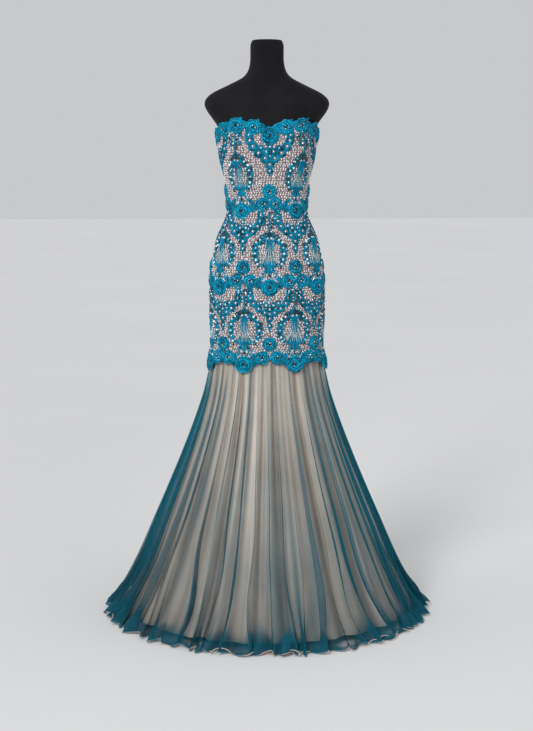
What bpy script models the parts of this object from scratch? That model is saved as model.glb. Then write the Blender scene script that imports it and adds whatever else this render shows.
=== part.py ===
"""Strapless trumpet ballroom gown on a limbless dress form with a pole stand.

Metres, +Z up. The front faces -Y and the origin is on the floor under the middle of the stand.
The gown is a blush sheath from the bust to the thigh, a turquoise lace overlay with its gaps cut
through, a champagne satin underskirt and a pleated turquoise tulle overskirt. A zip closes the
centre back, and its pull tab hangs from the slider.
"""

import math
from collections import namedtuple

import bmesh
import bpy
from mathutils import Vector
from mathutils.geometry import delaunay_2d_cdt

# Walls and clearances
SEAM_GAP = 0.0003
SHEATH_CLEAR = 0.0006
SHEATH_BUST_CLEAR = 0.0024
SHEATH_WALL = 0.0015
LACE_CLEAR = 0.0028
LACE_WALL = 0.0012
LACE_FLARE = 0.007
ROSETTE_RISE = 0.003
SATIN_WALL = 0.0013
TULLE_WALL = 0.0012

# Heights above the floor
WAIST_BAND = 1.137
HIP_BAND = 0.930
THIGH_BAND = 0.7203
SHEATH_HEM = 0.715
TORSO_FOOT = 0.742
ZIP_FOOT = 0.862
BUST_EASE_FROM = 1.17
BUST_EASE_TO = 1.24
LACE_FLARE_FROM = 0.740
LACE_FLARE_OVER = 0.050

# Divisions
FACETS = 32
QUARTER = FACETS // 4
FOLDS = 32
FOLD_STEPS = 4
TULLE_COLUMNS = FOLDS * FOLD_STEPS
SATIN_COLUMNS = 40
SATIN_FOLDS = 10
SECTION_SAMPLES = 96
FIGURE_FULLNESS = 0.94

# A horizontal section: half its width, and its depth before and behind the axis.
# The cup column is how far the bust stands forward of the front depth.
Section = namedtuple("Section", "z half_width front back cup")

FIGURE = (
    Section(0.660, 0.1533, 0.0968, 0.1098, 0),
    Section(0.713, 0.1533, 0.0968, 0.1108, 0),
    Section(0.760, 0.1523, 0.0978, 0.1128, 0),
    Section(0.800, 0.1533, 0.0988, 0.1158, 0),
    Section(0.850, 0.1548, 0.0998, 0.1198, 0),
    Section(0.900, 0.1548, 0.0998, 0.1218, 0),
    Section(0.940, 0.1523, 0.0988, 0.1198, 0),
    Section(0.980, 0.1483, 0.0958, 0.1148, 0),
    Section(1.020, 0.1403, 0.0918, 0.1058, 0),
    Section(1.050, 0.1328, 0.0888, 0.0968, 0),
    Section(1.080, 0.1193, 0.0858, 0.0878, 0),
    Section(1.110, 0.1078, 0.0828, 0.0808, 0),
    Section(1.140, 0.1058, 0.0818, 0.0768, 0),
    Section(1.170, 0.1078, 0.0838, 0.0758, 0.001),
    Section(1.200, 0.1108, 0.0868, 0.0778, 0.005),
    Section(1.230, 0.1158, 0.0908, 0.0808, 0.012),
    Section(1.260, 0.1233, 0.0948, 0.0838, 0.019),
    Section(1.290, 0.1288, 0.0968, 0.0868, 0.021),
    Section(1.320, 0.1313, 0.0958, 0.0888, 0.015),
    Section(1.350, 0.1355, 0.094, 0.091, 0.007),
    Section(1.372, 0.1500, 0.090, 0.090, 0.002),
    Section(1.390, 0.1630, 0.084, 0.088, 0),
    Section(1.408, 0.1705, 0.077, 0.084, 0),
    Section(1.424, 0.1670, 0.068, 0.079, 0),
    Section(1.441, 0.1480, 0.060, 0.072, 0),
    Section(1.463, 0.1030, 0.052, 0.064, 0),
    Section(1.485, 0.0630, 0.047, 0.055, 0),
    Section(1.515, 0.0475, 0.045, 0.047, 0),
    Section(1.570, 0.0450, 0.045, 0.045, 0),
    Section(1.582, 0.0400, 0.040, 0.040, 0),
)
CUP_ANGLE = math.radians(37)
CUP_SPREAD = math.radians(24)
CUP_BRIDGE = 0.35
CUP_BRIDGE_SPREAD = math.radians(16)

# The skirt's sections run along the crests of its folds.
SKIRT = (
    Section(0.0015, 0.463, 0.463, 0.463, 0),
    Section(0.110, 0.394, 0.388, 0.391, 0),
    Section(0.270, 0.320, 0.304, 0.312, 0),
    Section(0.450, 0.242, 0.212, 0.223, 0),
    Section(0.600, 0.1850, 0.141, 0.154, 0),
    Section(0.685, 0.1625, 0.1085, 0.122, 0),
    Section(0.7120, 0.1567, 0.1002, 0.1142, 0),
)
# How deep a fold of each skirt layer is at a height, and the room between the two layers.
Fold = namedtuple("Fold", "z tulle satin room")
FOLD_DEPTH = (
    Fold(0.0015, 0.034, 0.016, 0.006),
    Fold(0.110, 0.030, 0.014, 0.006),
    Fold(0.270, 0.023, 0.011, 0.005),
    Fold(0.450, 0.016, 0.007, 0.003),
    Fold(0.600, 0.0085, 0.003, 0.002),
    Fold(0.685, 0.003, 0.001, 0.001),
    Fold(0.7120, 0.0, 0.0, 0.0008),
)
SATIN_HEM = 0.020
SATIN_TOP = SHEATH_HEM - SEAM_GAP
SATIN_HEIGHTS = (SATIN_TOP, 0.685, 0.600, 0.450, 0.270, 0.110, SATIN_HEM)
TULLE_HEIGHTS = tuple(section.z for section in reversed(SKIRT))

# Heights of the sheath's rows under its shaped neckline, and of the torso's rows above it
SHEATH_HEIGHTS = (TORSO_FOOT, ZIP_FOOT, 0.922, 0.980, 1.035, 1.080, 1.108, 1.140, 1.185, 1.235, 1.285)
TORSO_HEIGHTS = SHEATH_HEIGHTS + tuple(section.z for section in FIGURE if section.z > 1.33)

# The neckline's height at angles from the centre front, which both sides share
Edge = namedtuple("Edge", "degrees z")
NECKLINE = (
    Edge(0, 1.333),
    Edge(30, 1.352),
    Edge(60, 1.343),
    Edge(90, 1.326),
    Edge(140, 1.305),
    Edge(180, 1.300),
)

# Lace rows: bands between which a repeat of fans and swags fits, with its columns round the body.
# The shift puts a fan, 0, or a swag, a half, on the centre front. Fan and swag are the shares of
# a full repeat's width that the two motifs take. The first axis is the distance along the body
# from the centre front to the next axis.
LaceRow = namedtuple("LaceRow", "top foot columns shift fan swag first_axis")
LACE_ROWS = (
    LaceRow(None, WAIST_BAND, 4, 0.5, 0.62, 0.79, None),
    LaceRow(WAIST_BAND, HIP_BAND, 6, 0.0, 0.90, 0.92, 0.0715),
    LaceRow(HIP_BAND, THIGH_BAND, 7, 0.5, 1.0, 1.0, 0.0685),
)
# Half a repeat's gaps, by their corners beside the swag and beside the fan.
# Across is 0 on the fan's axis and 1 on the swag's, down 0 on the band above and 1 below.
Gap = namedtuple("Gap", "by_swag by_fan")
GAPS = {
    "under_swag": Gap(
        (
            (0.27, 0.085), (0.31, 0.215), (0.46, 0.320), (0.88, 0.490), (0.93, 0.670),
            (0.74, 0.740), (0.58, 0.890),
        ),
        (
            (0.43, 0.915), (0.57, 0.740), (0.64, 0.570), (0.52, 0.420), (0.18, 0.315),
            (0.17, 0.080),
        ),
    ),
    "over_swag": Gap(
        (
            (0.49, 0.070), (0.64, 0.120), (0.76, 0.188), (0.93, 0.205), (0.88, 0.270),
            (0.67, 0.255),
        ),
        (),
    ),
    "in_arch": Gap(
        (), ((0.13, 0.485), (0.33, 0.480), (0.46, 0.590), (0.32, 0.770), (0.20, 0.640))
    ),
    "in_tulip": Gap((), ((0.09, 0.870), (0.22, 0.865), (0.31, 0.925), (0.12, 0.945))),
}
EYELETS_ON_AXIS = (0.315, 0.430)
EYELET_IN_SWAG = (0.84, 0.372)
EYELET_ACROSS = 0.0045
EYELET_DOWN = 0.0055
# Rosettes of half a repeat, which are raised in the middle
ROSETTES = ((0.0, 1.067), (0.73, 0.973), (1.0, 0.800))
# The lace's lower edge over half a repeat: the large rosette, a notch and one of the pair
Scallop = namedtuple("Scallop", "across z")
HEM_SCALLOPS = (
    Scallop(0.00, 0.6838),
    Scallop(0.24, 0.6905),
    Scallop(0.37, 0.7060),
    Scallop(0.44, 0.7125),
    Scallop(0.56, 0.7080),
    Scallop(0.73, 0.7060),
    Scallop(0.90, 0.7090),
    Scallop(1.00, 0.7160),
)
# How far the first axes may be shifted, as parts of the girth
AXIS_SHIFTS = (-0.020, 0.045)
NECK_SCALLOPS = 17
NECK_SCALLOP_HEIGHTS = (0.006, 0.0165, 0.020, 0.0165)
NECK_ROSETTE_DROP = 0.002
LACE_GIRTH = 0.860
LACE_EDGE_STEP = 0.036
LACE_BINDING = 0.0035
LACE_SAG = 0.0018
LACE_PASSES = 4
SIDE_SEAM = 0.25
BACK_OPENING = 0.0068

# Zip
ZIP_HALF_WIDTH = 0.0023
ZIP_TOP_DROP = 0.004
SLIDER = (0.0075, 0.0022, 0.012)
SLIDER_HEIGHT = 1.284
BRIDGE_INNER = 0.0010
BRIDGE_OUTER = 0.0018
BRIDGE_WIDTH = 0.0020
BRIDGE_STEPS = 8
PULL_AXIS_OFF = 0.0011
PULL_WIDTH = 0.005
PULL_THICK = 0.0009
PULL_LENGTH = 0.020
PULL_BAR = 0.0005
PULL_WINDOW = 0.0024
PULL_WINDOW_HALF = 0.0014
PULL_TIP_STEPS = 6

# Stand
POLE_RADIUS = 0.016
BASE_RADIUS = 0.170
BASE_THICK = 0.012
BASE_EDGE = 0.003
FLANGE_RADIUS = 0.045
FLANGE_HEIGHT = 0.030
ROUND_SIDES = 24
POLE_SIDES = 16

# Colours, as the linear red, green and blue of each finish, with its roughness and metal
Finish = namedtuple("Finish", "color roughness metallic")
FINISHES = {
    "blush_ground": Finish((0.66, 0.50, 0.45), 0.60, 0.0),
    "turquoise_lace": Finish((0.01, 0.28, 0.46), 0.55, 0.0),
    "champagne_satin": Finish((0.58, 0.50, 0.42), 0.35, 0.0),
    "turquoise_tulle": Finish((0.02, 0.22, 0.32), 0.70, 0.0),
    "form_jersey": Finish((0.03, 0.03, 0.04), 0.90, 0.0),
    "stand_metal": Finish((0.05, 0.05, 0.055), 0.40, 1.0),
    "zip_metal": Finish((0.62, 0.55, 0.48), 0.30, 1.0),
}

# Sections and arc lengths that were already worked out
_sections = {}
_girths = {}


def clear_scene():
    """Removes the objects of the start-up scene."""
    for obj in list(bpy.data.objects):
        bpy.data.objects.remove(obj)


def material(name):
    """The finish's material, made once."""
    found = bpy.data.materials.get(name)
    if found:
        return found
    finish = FINISHES[name]
    made = bpy.data.materials.new(name)
    made.use_nodes = True
    shader = made.node_tree.nodes["Principled BSDF"]
    shader.inputs["Base Color"].default_value = (*finish.color, 1)
    shader.inputs["Roughness"].default_value = finish.roughness
    shader.inputs["Metallic"].default_value = finish.metallic
    return made


def object_from(name, bm, finish, smooth=True):
    """An object of the mesh, its faces turned outwards and triangulated."""
    bmesh.ops.recalc_face_normals(bm, faces=bm.faces)
    mesh = bpy.data.meshes.new(name)
    bm.to_mesh(mesh)
    bm.free()
    if smooth:
        mesh.shade_smooth()
        mesh.set_sharp_from_angle(angle=math.radians(50))
    obj = bpy.data.objects.new(name, mesh)
    mesh.materials.append(material(finish))
    bpy.context.scene.collection.objects.link(obj)
    return obj


def smooth_value(rows, key, column, at):
    """A column of a table read at a place between its rows, along a smooth curve."""
    xs = [getattr(row, key) for row in rows]
    ys = [getattr(row, column) for row in rows]
    if at <= xs[0]:
        return ys[0]
    if at >= xs[-1]:
        return ys[-1]
    i = max(n for n in range(len(xs) - 1) if xs[n] <= at)

    def slope(n):
        low = max(n - 1, 0)
        high = min(n + 1, len(xs) - 1)
        return (ys[high] - ys[low]) / (xs[high] - xs[low])

    span = xs[i + 1] - xs[i]
    t = (at - xs[i]) / span
    return (
        (2 * t**3 - 3 * t**2 + 1) * ys[i]
        + (t**3 - 2 * t**2 + t) * span * slope(i)
        + (3 * t**2 - 2 * t**3) * ys[i + 1]
        + (t**3 - t**2) * span * slope(i + 1)
    )


def section_at(table, z):
    """The section of a table at a height."""
    key = (table is FIGURE, round(z, 6))
    if key not in _sections:
        columns = ("half_width", "front", "back", "cup")
        _sections[key] = Section(z, *(smooth_value(table, "z", c, z) for c in columns))
    return _sections[key]


def power(value, exponent):
    """The value's power with its sign kept."""
    return math.copysign(abs(value) ** exponent, value)


def outline(section, angle, fullness):
    """Where the section's outline is at an angle from the centre front, towards +X."""
    depth = section.front if math.cos(angle) > 0 else section.back
    x = section.half_width * power(math.sin(angle), fullness)
    y = -depth * power(math.cos(angle), fullness)
    off_cup = (abs(angle) - CUP_ANGLE) / CUP_SPREAD
    off_front = angle / CUP_BRIDGE_SPREAD
    bump = math.exp(-off_cup * off_cup) + CUP_BRIDGE * math.exp(-off_front * off_front)
    return x, y - section.cup * bump


def surface_point(table, angle, z, out=0.0):
    """A point of a table's surface, moved out along the section's normal."""
    section = section_at(table, z)
    fullness = FIGURE_FULLNESS if table is FIGURE else 1.0
    angle = (angle + math.pi) % math.tau - math.pi
    step = math.radians(0.5)
    x, y = outline(section, angle, fullness)
    x0, y0 = outline(section, angle - step, fullness)
    x1, y1 = outline(section, angle + step, fullness)
    along = Vector((x1 - x0, y1 - y0)).normalized()
    return Vector((x + out * along.y, y - out * along.x, z))


def share(value, low, high):
    """How far a value is from low to high, eased at both ends."""
    t = min(max((value - low) / (high - low), 0.0), 1.0)
    return t * t * (3 - 2 * t)


def sheath_inner(z):
    """How far the sheath's inner face stands off the figure."""
    eased = share(z, BUST_EASE_FROM, BUST_EASE_TO)
    return SHEATH_CLEAR + (SHEATH_BUST_CLEAR - SHEATH_CLEAR) * eased


def lace_inner(z):
    """How far the lace's inner face stands off the figure."""
    flare = max(LACE_FLARE_FROM - z, 0.0) / LACE_FLARE_OVER
    return sheath_inner(z) + SHEATH_WALL + LACE_CLEAR + LACE_FLARE * flare


def neckline(angle):
    """The sheath's upper edge at an angle from the centre front."""
    return smooth_value(NECKLINE, "degrees", "z", abs(math.degrees(angle)))


def shell(name, inner, outer, finish):
    """A closed wall between two grids of points with the same rows and columns."""
    bm = bmesh.new()
    rows = len(outer)
    columns = len(outer[0])
    skins = []
    for grid in (outer, inner):
        skins.append([[bm.verts.new(point) for point in row] for row in grid])
    for skin in skins:
        for r in range(rows - 1):
            for c in range(columns - 1):
                a, b = skin[r][c], skin[r + 1][c]
                d, e = skin[r + 1][c + 1], skin[r][c + 1]
                bm.faces.new((a, b, d))
                bm.faces.new((a, d, e))
    rim = [(0, c) for c in range(columns - 1)]
    rim += [(r, columns - 1) for r in range(rows - 1)]
    rim += [(rows - 1, c) for c in range(columns - 1, 0, -1)]
    rim += [(r, 0) for r in range(rows - 1, 0, -1)]
    for (r0, c0), (r1, c1) in zip(rim, rim[1:] + rim[:1]):
        a, b = skins[0][r0][c0], skins[0][r1][c1]
        d, e = skins[1][r1][c1], skins[1][r0][c0]
        bm.faces.new((a, b, d))
        bm.faces.new((a, d, e))
    return object_from(name, bm, finish)


def nudged(grid, first, last):
    """The grid with its end columns moved inwards, by what first and last give for a height."""
    moved = []
    for row in grid:
        row = list(row)
        for end, beside, amount in ((0, 1, first), (-1, -2, last)):
            way = (row[beside] - row[end]).normalized()
            row[end] = row[end] + way * amount(row[end].z)
        moved.append(row)
    return moved


def half_seam(_z):
    """Half of a seam's gap, at any height."""
    return SEAM_GAP / 2


def zip_side(z):
    """How far a back panel's edge lies from the centre back, beside the zip and under it."""
    return ZIP_HALF_WIDTH + SEAM_GAP if z > ZIP_FOOT - 0.001 else SEAM_GAP / 2


def sheath_heights(angle):
    """The heights of the sheath's rows at an angle, from the neckline to its hem."""
    top = neckline(angle)
    return [top, *reversed(SHEATH_HEIGHTS), SHEATH_HEM]


def sheath_panel(name, first, last, ends):
    """A panel of the sheath between two facets of the figure."""
    grids = []
    for wall in (0.0, SHEATH_WALL):
        angles = [math.tau * column / FACETS for column in range(first, last + 1)]
        heights = [sheath_heights((angle + math.pi) % math.tau - math.pi) for angle in angles]
        grids.append(
            [
                [
                    surface_point(FIGURE, angle, zs[row], sheath_inner(zs[row]) + wall)
                    for angle, zs in zip(angles, heights)
                ]
                for row in range(len(heights[0]))
            ]
        )
    inner, outer = (nudged(grid, *ends) for grid in grids)
    return shell(name, inner, outer, "blush_ground")


def make_sheath():
    """The sheath's centre front, two side fronts and two backs."""
    front = 3
    sheath_panel("sheath_front", -front, front, (half_seam, half_seam))
    sheath_panel("sheath_side_left", front, QUARTER, (half_seam, half_seam))
    sheath_panel("sheath_side_right", -QUARTER, -front, (half_seam, half_seam))
    sheath_panel("sheath_back_left", QUARTER, 2 * QUARTER, (half_seam, zip_side))
    sheath_panel("sheath_back_right", -2 * QUARTER, -QUARTER, (zip_side, half_seam))


def warp(angle):
    """An angle round the skirt, moved so that its folds lie unevenly."""
    broad = math.radians(1.5) * math.sin(3 * angle + 0.4)
    return angle + broad + math.radians(0.9) * math.sin(7 * angle)


def fold_depth(column, z):
    """How deep a layer's folds are at a height."""
    return smooth_value(FOLD_DEPTH, "z", column, z)


def offset_ring(ring, distance):
    """The closed ring's points moved inwards, square to the ring."""
    moved = []
    for before, point, after in zip(ring[-1:] + ring[:-1], ring, ring[1:] + ring[:1]):
        along = (after - before).normalized()
        moved.append(point - Vector((along.y, -along.x, 0)) * distance)
    return moved


def tulle_ring(z):
    """The outer ring of the tulle at a height: crests, flanks and valleys of its folds."""
    ring = []
    depth = fold_depth("tulle", z)
    for column in range(TULLE_COLUMNS):
        angle = warp(math.tau * column / TULLE_COLUMNS)
        wave = (1 - math.cos(math.tau * column / FOLD_STEPS)) / 2
        fold = column // FOLD_STEPS
        uneven = 0.86 + 0.14 * math.sin(2.4 * fold + 1.1)
        ring.append(surface_point(SKIRT, angle, z, -depth * uneven * wave))
    return ring


def satin_ring(z):
    """The outer ring of the satin at a height, inside the tulle's deepest folds."""
    ring = []
    inside = fold_depth("tulle", z) + TULLE_WALL + fold_depth("room", z)
    depth = fold_depth("satin", z)
    for column in range(SATIN_COLUMNS):
        angle = math.tau * column / SATIN_COLUMNS
        wave = (1 - math.cos(angle * SATIN_FOLDS)) / 2
        at = min(z, SKIRT[-1].z)
        point = surface_point(SKIRT, angle, at, -inside - depth * wave)
        ring.append(Vector((point.x, point.y, z)))
    return ring


def skirt_layer(name, ring_at, heights, wall, finish):
    """A skirt layer in four gores, with their seams between the front, the sides and the back."""
    outer = [ring_at(z) for z in heights]
    inner = [offset_ring(ring, wall) for ring in outer]
    columns = len(outer[0])
    sides = ("front", "left", "back", "right")
    for n, side in enumerate(sides):
        first = (n * columns) // 4 - columns // 8 - FOLD_STEPS // 2
        picked = [(first + step) % columns for step in range(columns // 4 + 1)]
        grids = []
        for rings in (inner, outer):
            grid = [[ring[column] for column in picked] for ring in rings]
            grids.append(nudged(grid, half_seam, half_seam))
        shell(f"{name}_{side}", *grids, finish)


def make_skirt():
    """The satin underskirt and the tulle overskirt."""
    skirt_layer("satin", satin_ring, SATIN_HEIGHTS, SATIN_WALL, "champagne_satin")
    skirt_layer("tulle", tulle_ring, TULLE_HEIGHTS, TULLE_WALL, "turquoise_tulle")


def girth_table(z):
    """Angles from the centre front, the parts of the half girth at them, and the half girth."""
    key = round(z, 4)
    if key not in _girths:
        angles = [math.pi * n / SECTION_SAMPLES for n in range(SECTION_SAMPLES + 1)]
        section = section_at(FIGURE, key)
        points = [Vector(outline(section, angle, FIGURE_FULLNESS)) for angle in angles]
        lengths = [0.0]
        for a, b in zip(points, points[1:]):
            lengths.append(lengths[-1] + (b - a).length)
        _girths[key] = (angles, [length / lengths[-1] for length in lengths], lengths[-1])
    return _girths[key]


def girth_angle(part, z):
    """The angle at a part of the half girth from the centre front, at a height."""
    angles, parts, _ = girth_table(z)
    wanted = min(abs(part), 1.0)
    n = max(i for i in range(len(parts) - 1) if parts[i] <= wanted)
    t = (wanted - parts[n]) / (parts[n + 1] - parts[n])
    return math.copysign(angles[n] + t * (angles[n + 1] - angles[n]), part)


def row_height(row, part, down):
    """The height of a place in a lace row, whose top may follow the neckline."""
    top = row.top
    if top is None:
        top = neckline(girth_angle(2 * part, WAIST_BAND))
    return top + (row.foot - top) * down


def repeats(row):
    """The fan axes of a lace row as parts of the girth, with the half width of a repeat."""
    half = 0.5 / row.columns
    fans = []
    for column in range(-row.columns, row.columns + 1):
        fan = (column + row.shift) / row.columns
        if abs(fan) < 0.5 + half:
            fans.append(fan)
    return fans, half


def lace_place(row, part, down):
    """A place in a row, as a part of the girth and a height, with the row's first axes in place."""
    z = row_height(row, part, down)
    if row.first_axis is None:
        return part, z
    half = 0.5 / row.columns
    shift = (row.first_axis / (2 * girth_table(z)[2]) - half) / math.sin(4 * math.pi * half)
    shift = min(max(shift, AXIS_SHIFTS[0]), AXIS_SHIFTS[1])
    return part + shift * math.sin(4 * math.pi * part), z


def by_swag(row, across):
    """A place across half a repeat that keeps its distance from the swag's axis."""
    return 1 - (1 - across) * row.swag


def eyelet(row, part, down):
    """A small four-sided gap round a place in a row."""
    part, z = lace_place(row, part, down)
    wide = EYELET_ACROSS / LACE_GIRTH
    corners = ((-wide, 0), (0, -EYELET_DOWN), (wide, 0), (0, EYELET_DOWN))
    return [(part + across, z + up) for across, up in corners]


def lace_gaps(first, last):
    """Every gap that reaches between two parts of the girth, as loops of part and height."""
    gaps = []
    for row in LACE_ROWS:
        fans, half = repeats(row)
        for fan in fans:
            for side in (-1, 1):
                for gap in GAPS.values():
                    loop = [(by_swag(row, across), down) for across, down in gap.by_swag]
                    loop += [(across * row.fan, down) for across, down in gap.by_fan]
                    places = [(fan + side * across * half, down) for across, down in loop]
                    gaps.append([lace_place(row, part, down) for part, down in places])
                across, down = EYELET_IN_SWAG
                gaps.append(eyelet(row, fan + side * by_swag(row, across) * half, down))
            if abs(fan + half) < 0.48:
                gaps += [eyelet(row, fan + half, down) for down in EYELETS_ON_AXIS]
    return [gap for gap in gaps if max(p for p, _ in gap) > first and min(p for p, _ in gap) < last]


def rosette_places(first, last):
    """The middle of every rosette between two parts of the girth."""
    places = []
    for row in LACE_ROWS:
        fans, half = repeats(row)
        for fan in fans:
            for side in (-1, 1):
                for across, down in ROSETTES:
                    part = fan + side * (by_swag(row, across) if across else 0) * half
                    places.append(lace_place(row, part, down))
    for n in range(-NECK_SCALLOPS, NECK_SCALLOPS + 1):
        part = n / NECK_SCALLOPS
        places.append((part, row_height(LACE_ROWS[0], part, 0) - NECK_ROSETTE_DROP))
    margin = 0.012
    kept = []
    for part, z in places:
        new = all(abs(part - p) * LACE_GIRTH > 0.004 or abs(z - w) > 0.004 for p, w in kept)
        if first + margin < part < last - margin and new:
            kept.append((part, z))
    return kept


def hem_line(first, last):
    """The lace's scalloped lower edge between two parts of the girth."""
    row = LACE_ROWS[-1]
    fans, half = repeats(row)
    points = []
    for fan in fans:
        points += [(fan - scallop.across * half, scallop.z) for scallop in reversed(HEM_SCALLOPS)]
        points += [(fan + scallop.across * half, scallop.z) for scallop in HEM_SCALLOPS[1:]]
    points = [(lace_place(row, part, 1)[0], z) for part, z in points]
    inside = sorted({(round(p, 6), z) for p, z in points if first + 0.003 < p < last - 0.003})
    ends = [min(points, key=lambda point: abs(point[0] - end))[1] for end in (first, last)]
    return [(first, ends[0]), *inside, (last, ends[1])]


def neck_line(first, last):
    """The lace's scalloped upper edge between two parts of the girth."""
    steps = len(NECK_SCALLOP_HEIGHTS)
    points = []
    for n in range(-NECK_SCALLOPS * steps, NECK_SCALLOPS * steps + 1):
        part = (n / steps + 0.5) / NECK_SCALLOPS
        rise = NECK_SCALLOP_HEIGHTS[n % steps]
        if first + 0.003 < part < last - 0.003:
            points.append((part, row_height(LACE_ROWS[0], part, 0) + rise))
    rise = NECK_SCALLOP_HEIGHTS[1]
    ends = [(end, row_height(LACE_ROWS[0], end, 0) + rise) for end in (first, last)]
    return [ends[0], *points, ends[1]]


def lace_outline(first, last):
    """The edge of a lace panel, as a loop of part and height."""
    hem = hem_line(first, last)
    neck = neck_line(first, last)
    steps = round((neck[0][1] - hem[0][1]) / LACE_EDGE_STEP)

    def side(low, high):
        return [(low[0], low[1] + (high[1] - low[1]) * n / steps) for n in range(1, steps)]

    return hem + side(hem[-1], neck[-1]) + neck[::-1] + side(hem[0], neck[0])[::-1]


def inside(point, loop):
    """Whether a point of the plane lies within a loop."""
    x, y = point
    found = False
    for (x0, y0), (x1, y1) in zip(loop, loop[1:] + loop[:1]):
        if (y0 > y) != (y1 > y) and x < x0 + (y - y0) / (y1 - y0) * (x1 - x0):
            found = not found
    return found


def lace_point(place, out=0.0):
    """Where a place of the flat lace lies on the body, moved out from its inner face."""
    angle = girth_angle(2 * place[0] / LACE_GIRTH, place[1])
    return surface_point(FIGURE, angle, place[1], lace_inner(place[1]) + out)


def cuts_in(a, b):
    """Whether a straight edge between two places of the flat lace would sink towards the body."""
    chord = (lace_point(a) + lace_point(b)) / 2
    true = lace_point((a + b) / 2)
    outwards = Vector((true.x, true.y, 0)).normalized()
    return (true - chord).dot(outwards) > LACE_SAG


def cut_pattern(edge, gaps, binding, marks):
    """Triangles of the flat lace inside its edge, without its gaps but with its bound sides."""
    points = []
    lines = []
    for loop in [edge, *gaps]:
        start = len(points)
        points += loop
        lines += [(start + n, start + (n + 1) % len(loop)) for n in range(len(loop))]
    heights = sorted(z for x, z in edge if abs(x - edge[0][0]) < 1e-6)[1:-1]
    for x in binding:
        start = len(points)
        points += [(x, z) for z in (0.6, *heights, 1.5)]
        lines += [(start + n, start + n + 1) for n in range(len(heights) + 1)]
    points = [Vector(point) for point in points + marks]
    places, _, faces, *_ = delaunay_2d_cdt(points, lines, [], 0, 1e-6)
    kept = []
    for face in faces:
        middle = sum((places[n] for n in face), Vector((0, 0))) / len(face)
        bound = not binding[0] < middle.x < binding[1]
        if inside(middle, edge) and (bound or not any(inside(middle, gap) for gap in gaps)):
            kept.append(face)
    return places, kept


def lace_panel(name, first, last):
    """A panel of the lace: its flat pattern is cut, then laid on the body and given its thickness."""
    flat = []
    for loops in (lace_gaps(first, last), [lace_outline(first, last), rosette_places(first, last)]):
        flat.append([[(part * LACE_GIRTH, z) for part, z in loop] for loop in loops])
    gaps, (edge, raised) = flat
    binding = (first * LACE_GIRTH + LACE_BINDING, last * LACE_GIRTH - LACE_BINDING)
    marks = list(raised)
    for _ in range(LACE_PASSES):
        places, kept = cut_pattern(edge, gaps, binding, marks)
        sides = {(min(a, b), max(a, b)) for face in kept for a, b in zip(face, face[1:] + face[:1])}
        sunk = [(places[a], places[b]) for a, b in sorted(sides) if cuts_in(places[a], places[b])]
        if not sunk:
            break
        marks += [tuple((a + b) / 2) for a, b in sunk]

    bm = bmesh.new()
    skins = ({}, {})
    for n in sorted({n for face in kept for n in face}):
        middle = any((places[n] - Vector(point)).length < 1e-5 for point in raised)
        rise = ROSETTE_RISE if middle else 0
        skins[0][n] = bm.verts.new(lace_point(places[n]))
        skins[1][n] = bm.verts.new(lace_point(places[n], LACE_WALL + rise))
    sides = {(a, b) for face in kept for a, b in zip(face, face[1:] + face[:1])}
    for face in kept:
        for skin in skins:
            bm.faces.new([skin[n] for n in face])
    for a, b in sorted(sides):
        if (b, a) not in sides:
            inner, outer = skins
            bm.faces.new((inner[a], outer[a], outer[b]))
            bm.faces.new((inner[a], outer[b], inner[b]))
    return object_from(name, bm, "turquoise_lace")


def make_lace():
    """The lace's front and its two backs, open along the zip."""
    gap = SEAM_GAP / 2 / LACE_GIRTH * 1.4
    lace_panel("lace_front", -SIDE_SEAM + gap, SIDE_SEAM - gap)
    lace_panel("lace_back_left", SIDE_SEAM + gap, 0.5 - BACK_OPENING)
    lace_panel("lace_back_right", BACK_OPENING - 0.5, -SIDE_SEAM - gap)


def capped_rings(name, rings, finish):
    """A solid through closed rings of points, its two ends closed."""
    bm = bmesh.new()
    loops = [[bm.verts.new(point) for point in ring] for ring in rings]
    for low, high in zip(loops, loops[1:]):
        for n in range(len(low)):
            m = (n + 1) % len(low)
            bm.faces.new((low[n], high[n], low[m]))
            bm.faces.new((low[m], high[n], high[m]))
    bm.faces.new(loops[0])
    bm.faces.new(loops[-1])
    return object_from(name, bm, finish)


def make_form():
    """The dress form's torso, from the neck to the upper thigh."""
    rings = []
    for z in TORSO_HEIGHTS:
        rings.append([surface_point(FIGURE, math.tau * n / FACETS, z) for n in range(FACETS)])
    capped_rings("form_torso", rings, "form_jersey")


def circle(radius, z, sides):
    """A level ring of points round the axis."""
    angles = [math.tau * n / sides for n in range(sides)]
    return [Vector((radius * math.cos(a), radius * math.sin(a), z)) for a in angles]


def make_stand():
    """The pole under the torso and the round base with its flange."""
    pole_foot = FLANGE_HEIGHT + SEAM_GAP
    pole_top = TORSO_FOOT - SEAM_GAP
    pole = [circle(POLE_RADIUS, z, POLE_SIDES) for z in (pole_foot, pole_top)]
    capped_rings("stand_pole", pole, "stand_metal")
    profile = (
        (BASE_RADIUS, 0),
        (BASE_RADIUS, BASE_THICK - BASE_EDGE),
        (BASE_RADIUS - BASE_EDGE, BASE_THICK),
        (FLANGE_RADIUS, BASE_THICK),
        (POLE_RADIUS * 1.25, FLANGE_HEIGHT),
    )
    rings = [circle(radius, z, ROUND_SIDES) for radius, z in profile]
    capped_rings("stand_base", rings, "stand_metal")


def box(name, low, high, finish):
    """A box between two corners."""
    bm = bmesh.new()
    bmesh.ops.create_cube(bm, size=1)
    for vert in bm.verts:
        for axis in range(3):
            vert.co[axis] = high[axis] if vert.co[axis] > 0 else low[axis]
    return object_from(name, bm, finish, smooth=False)


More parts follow.
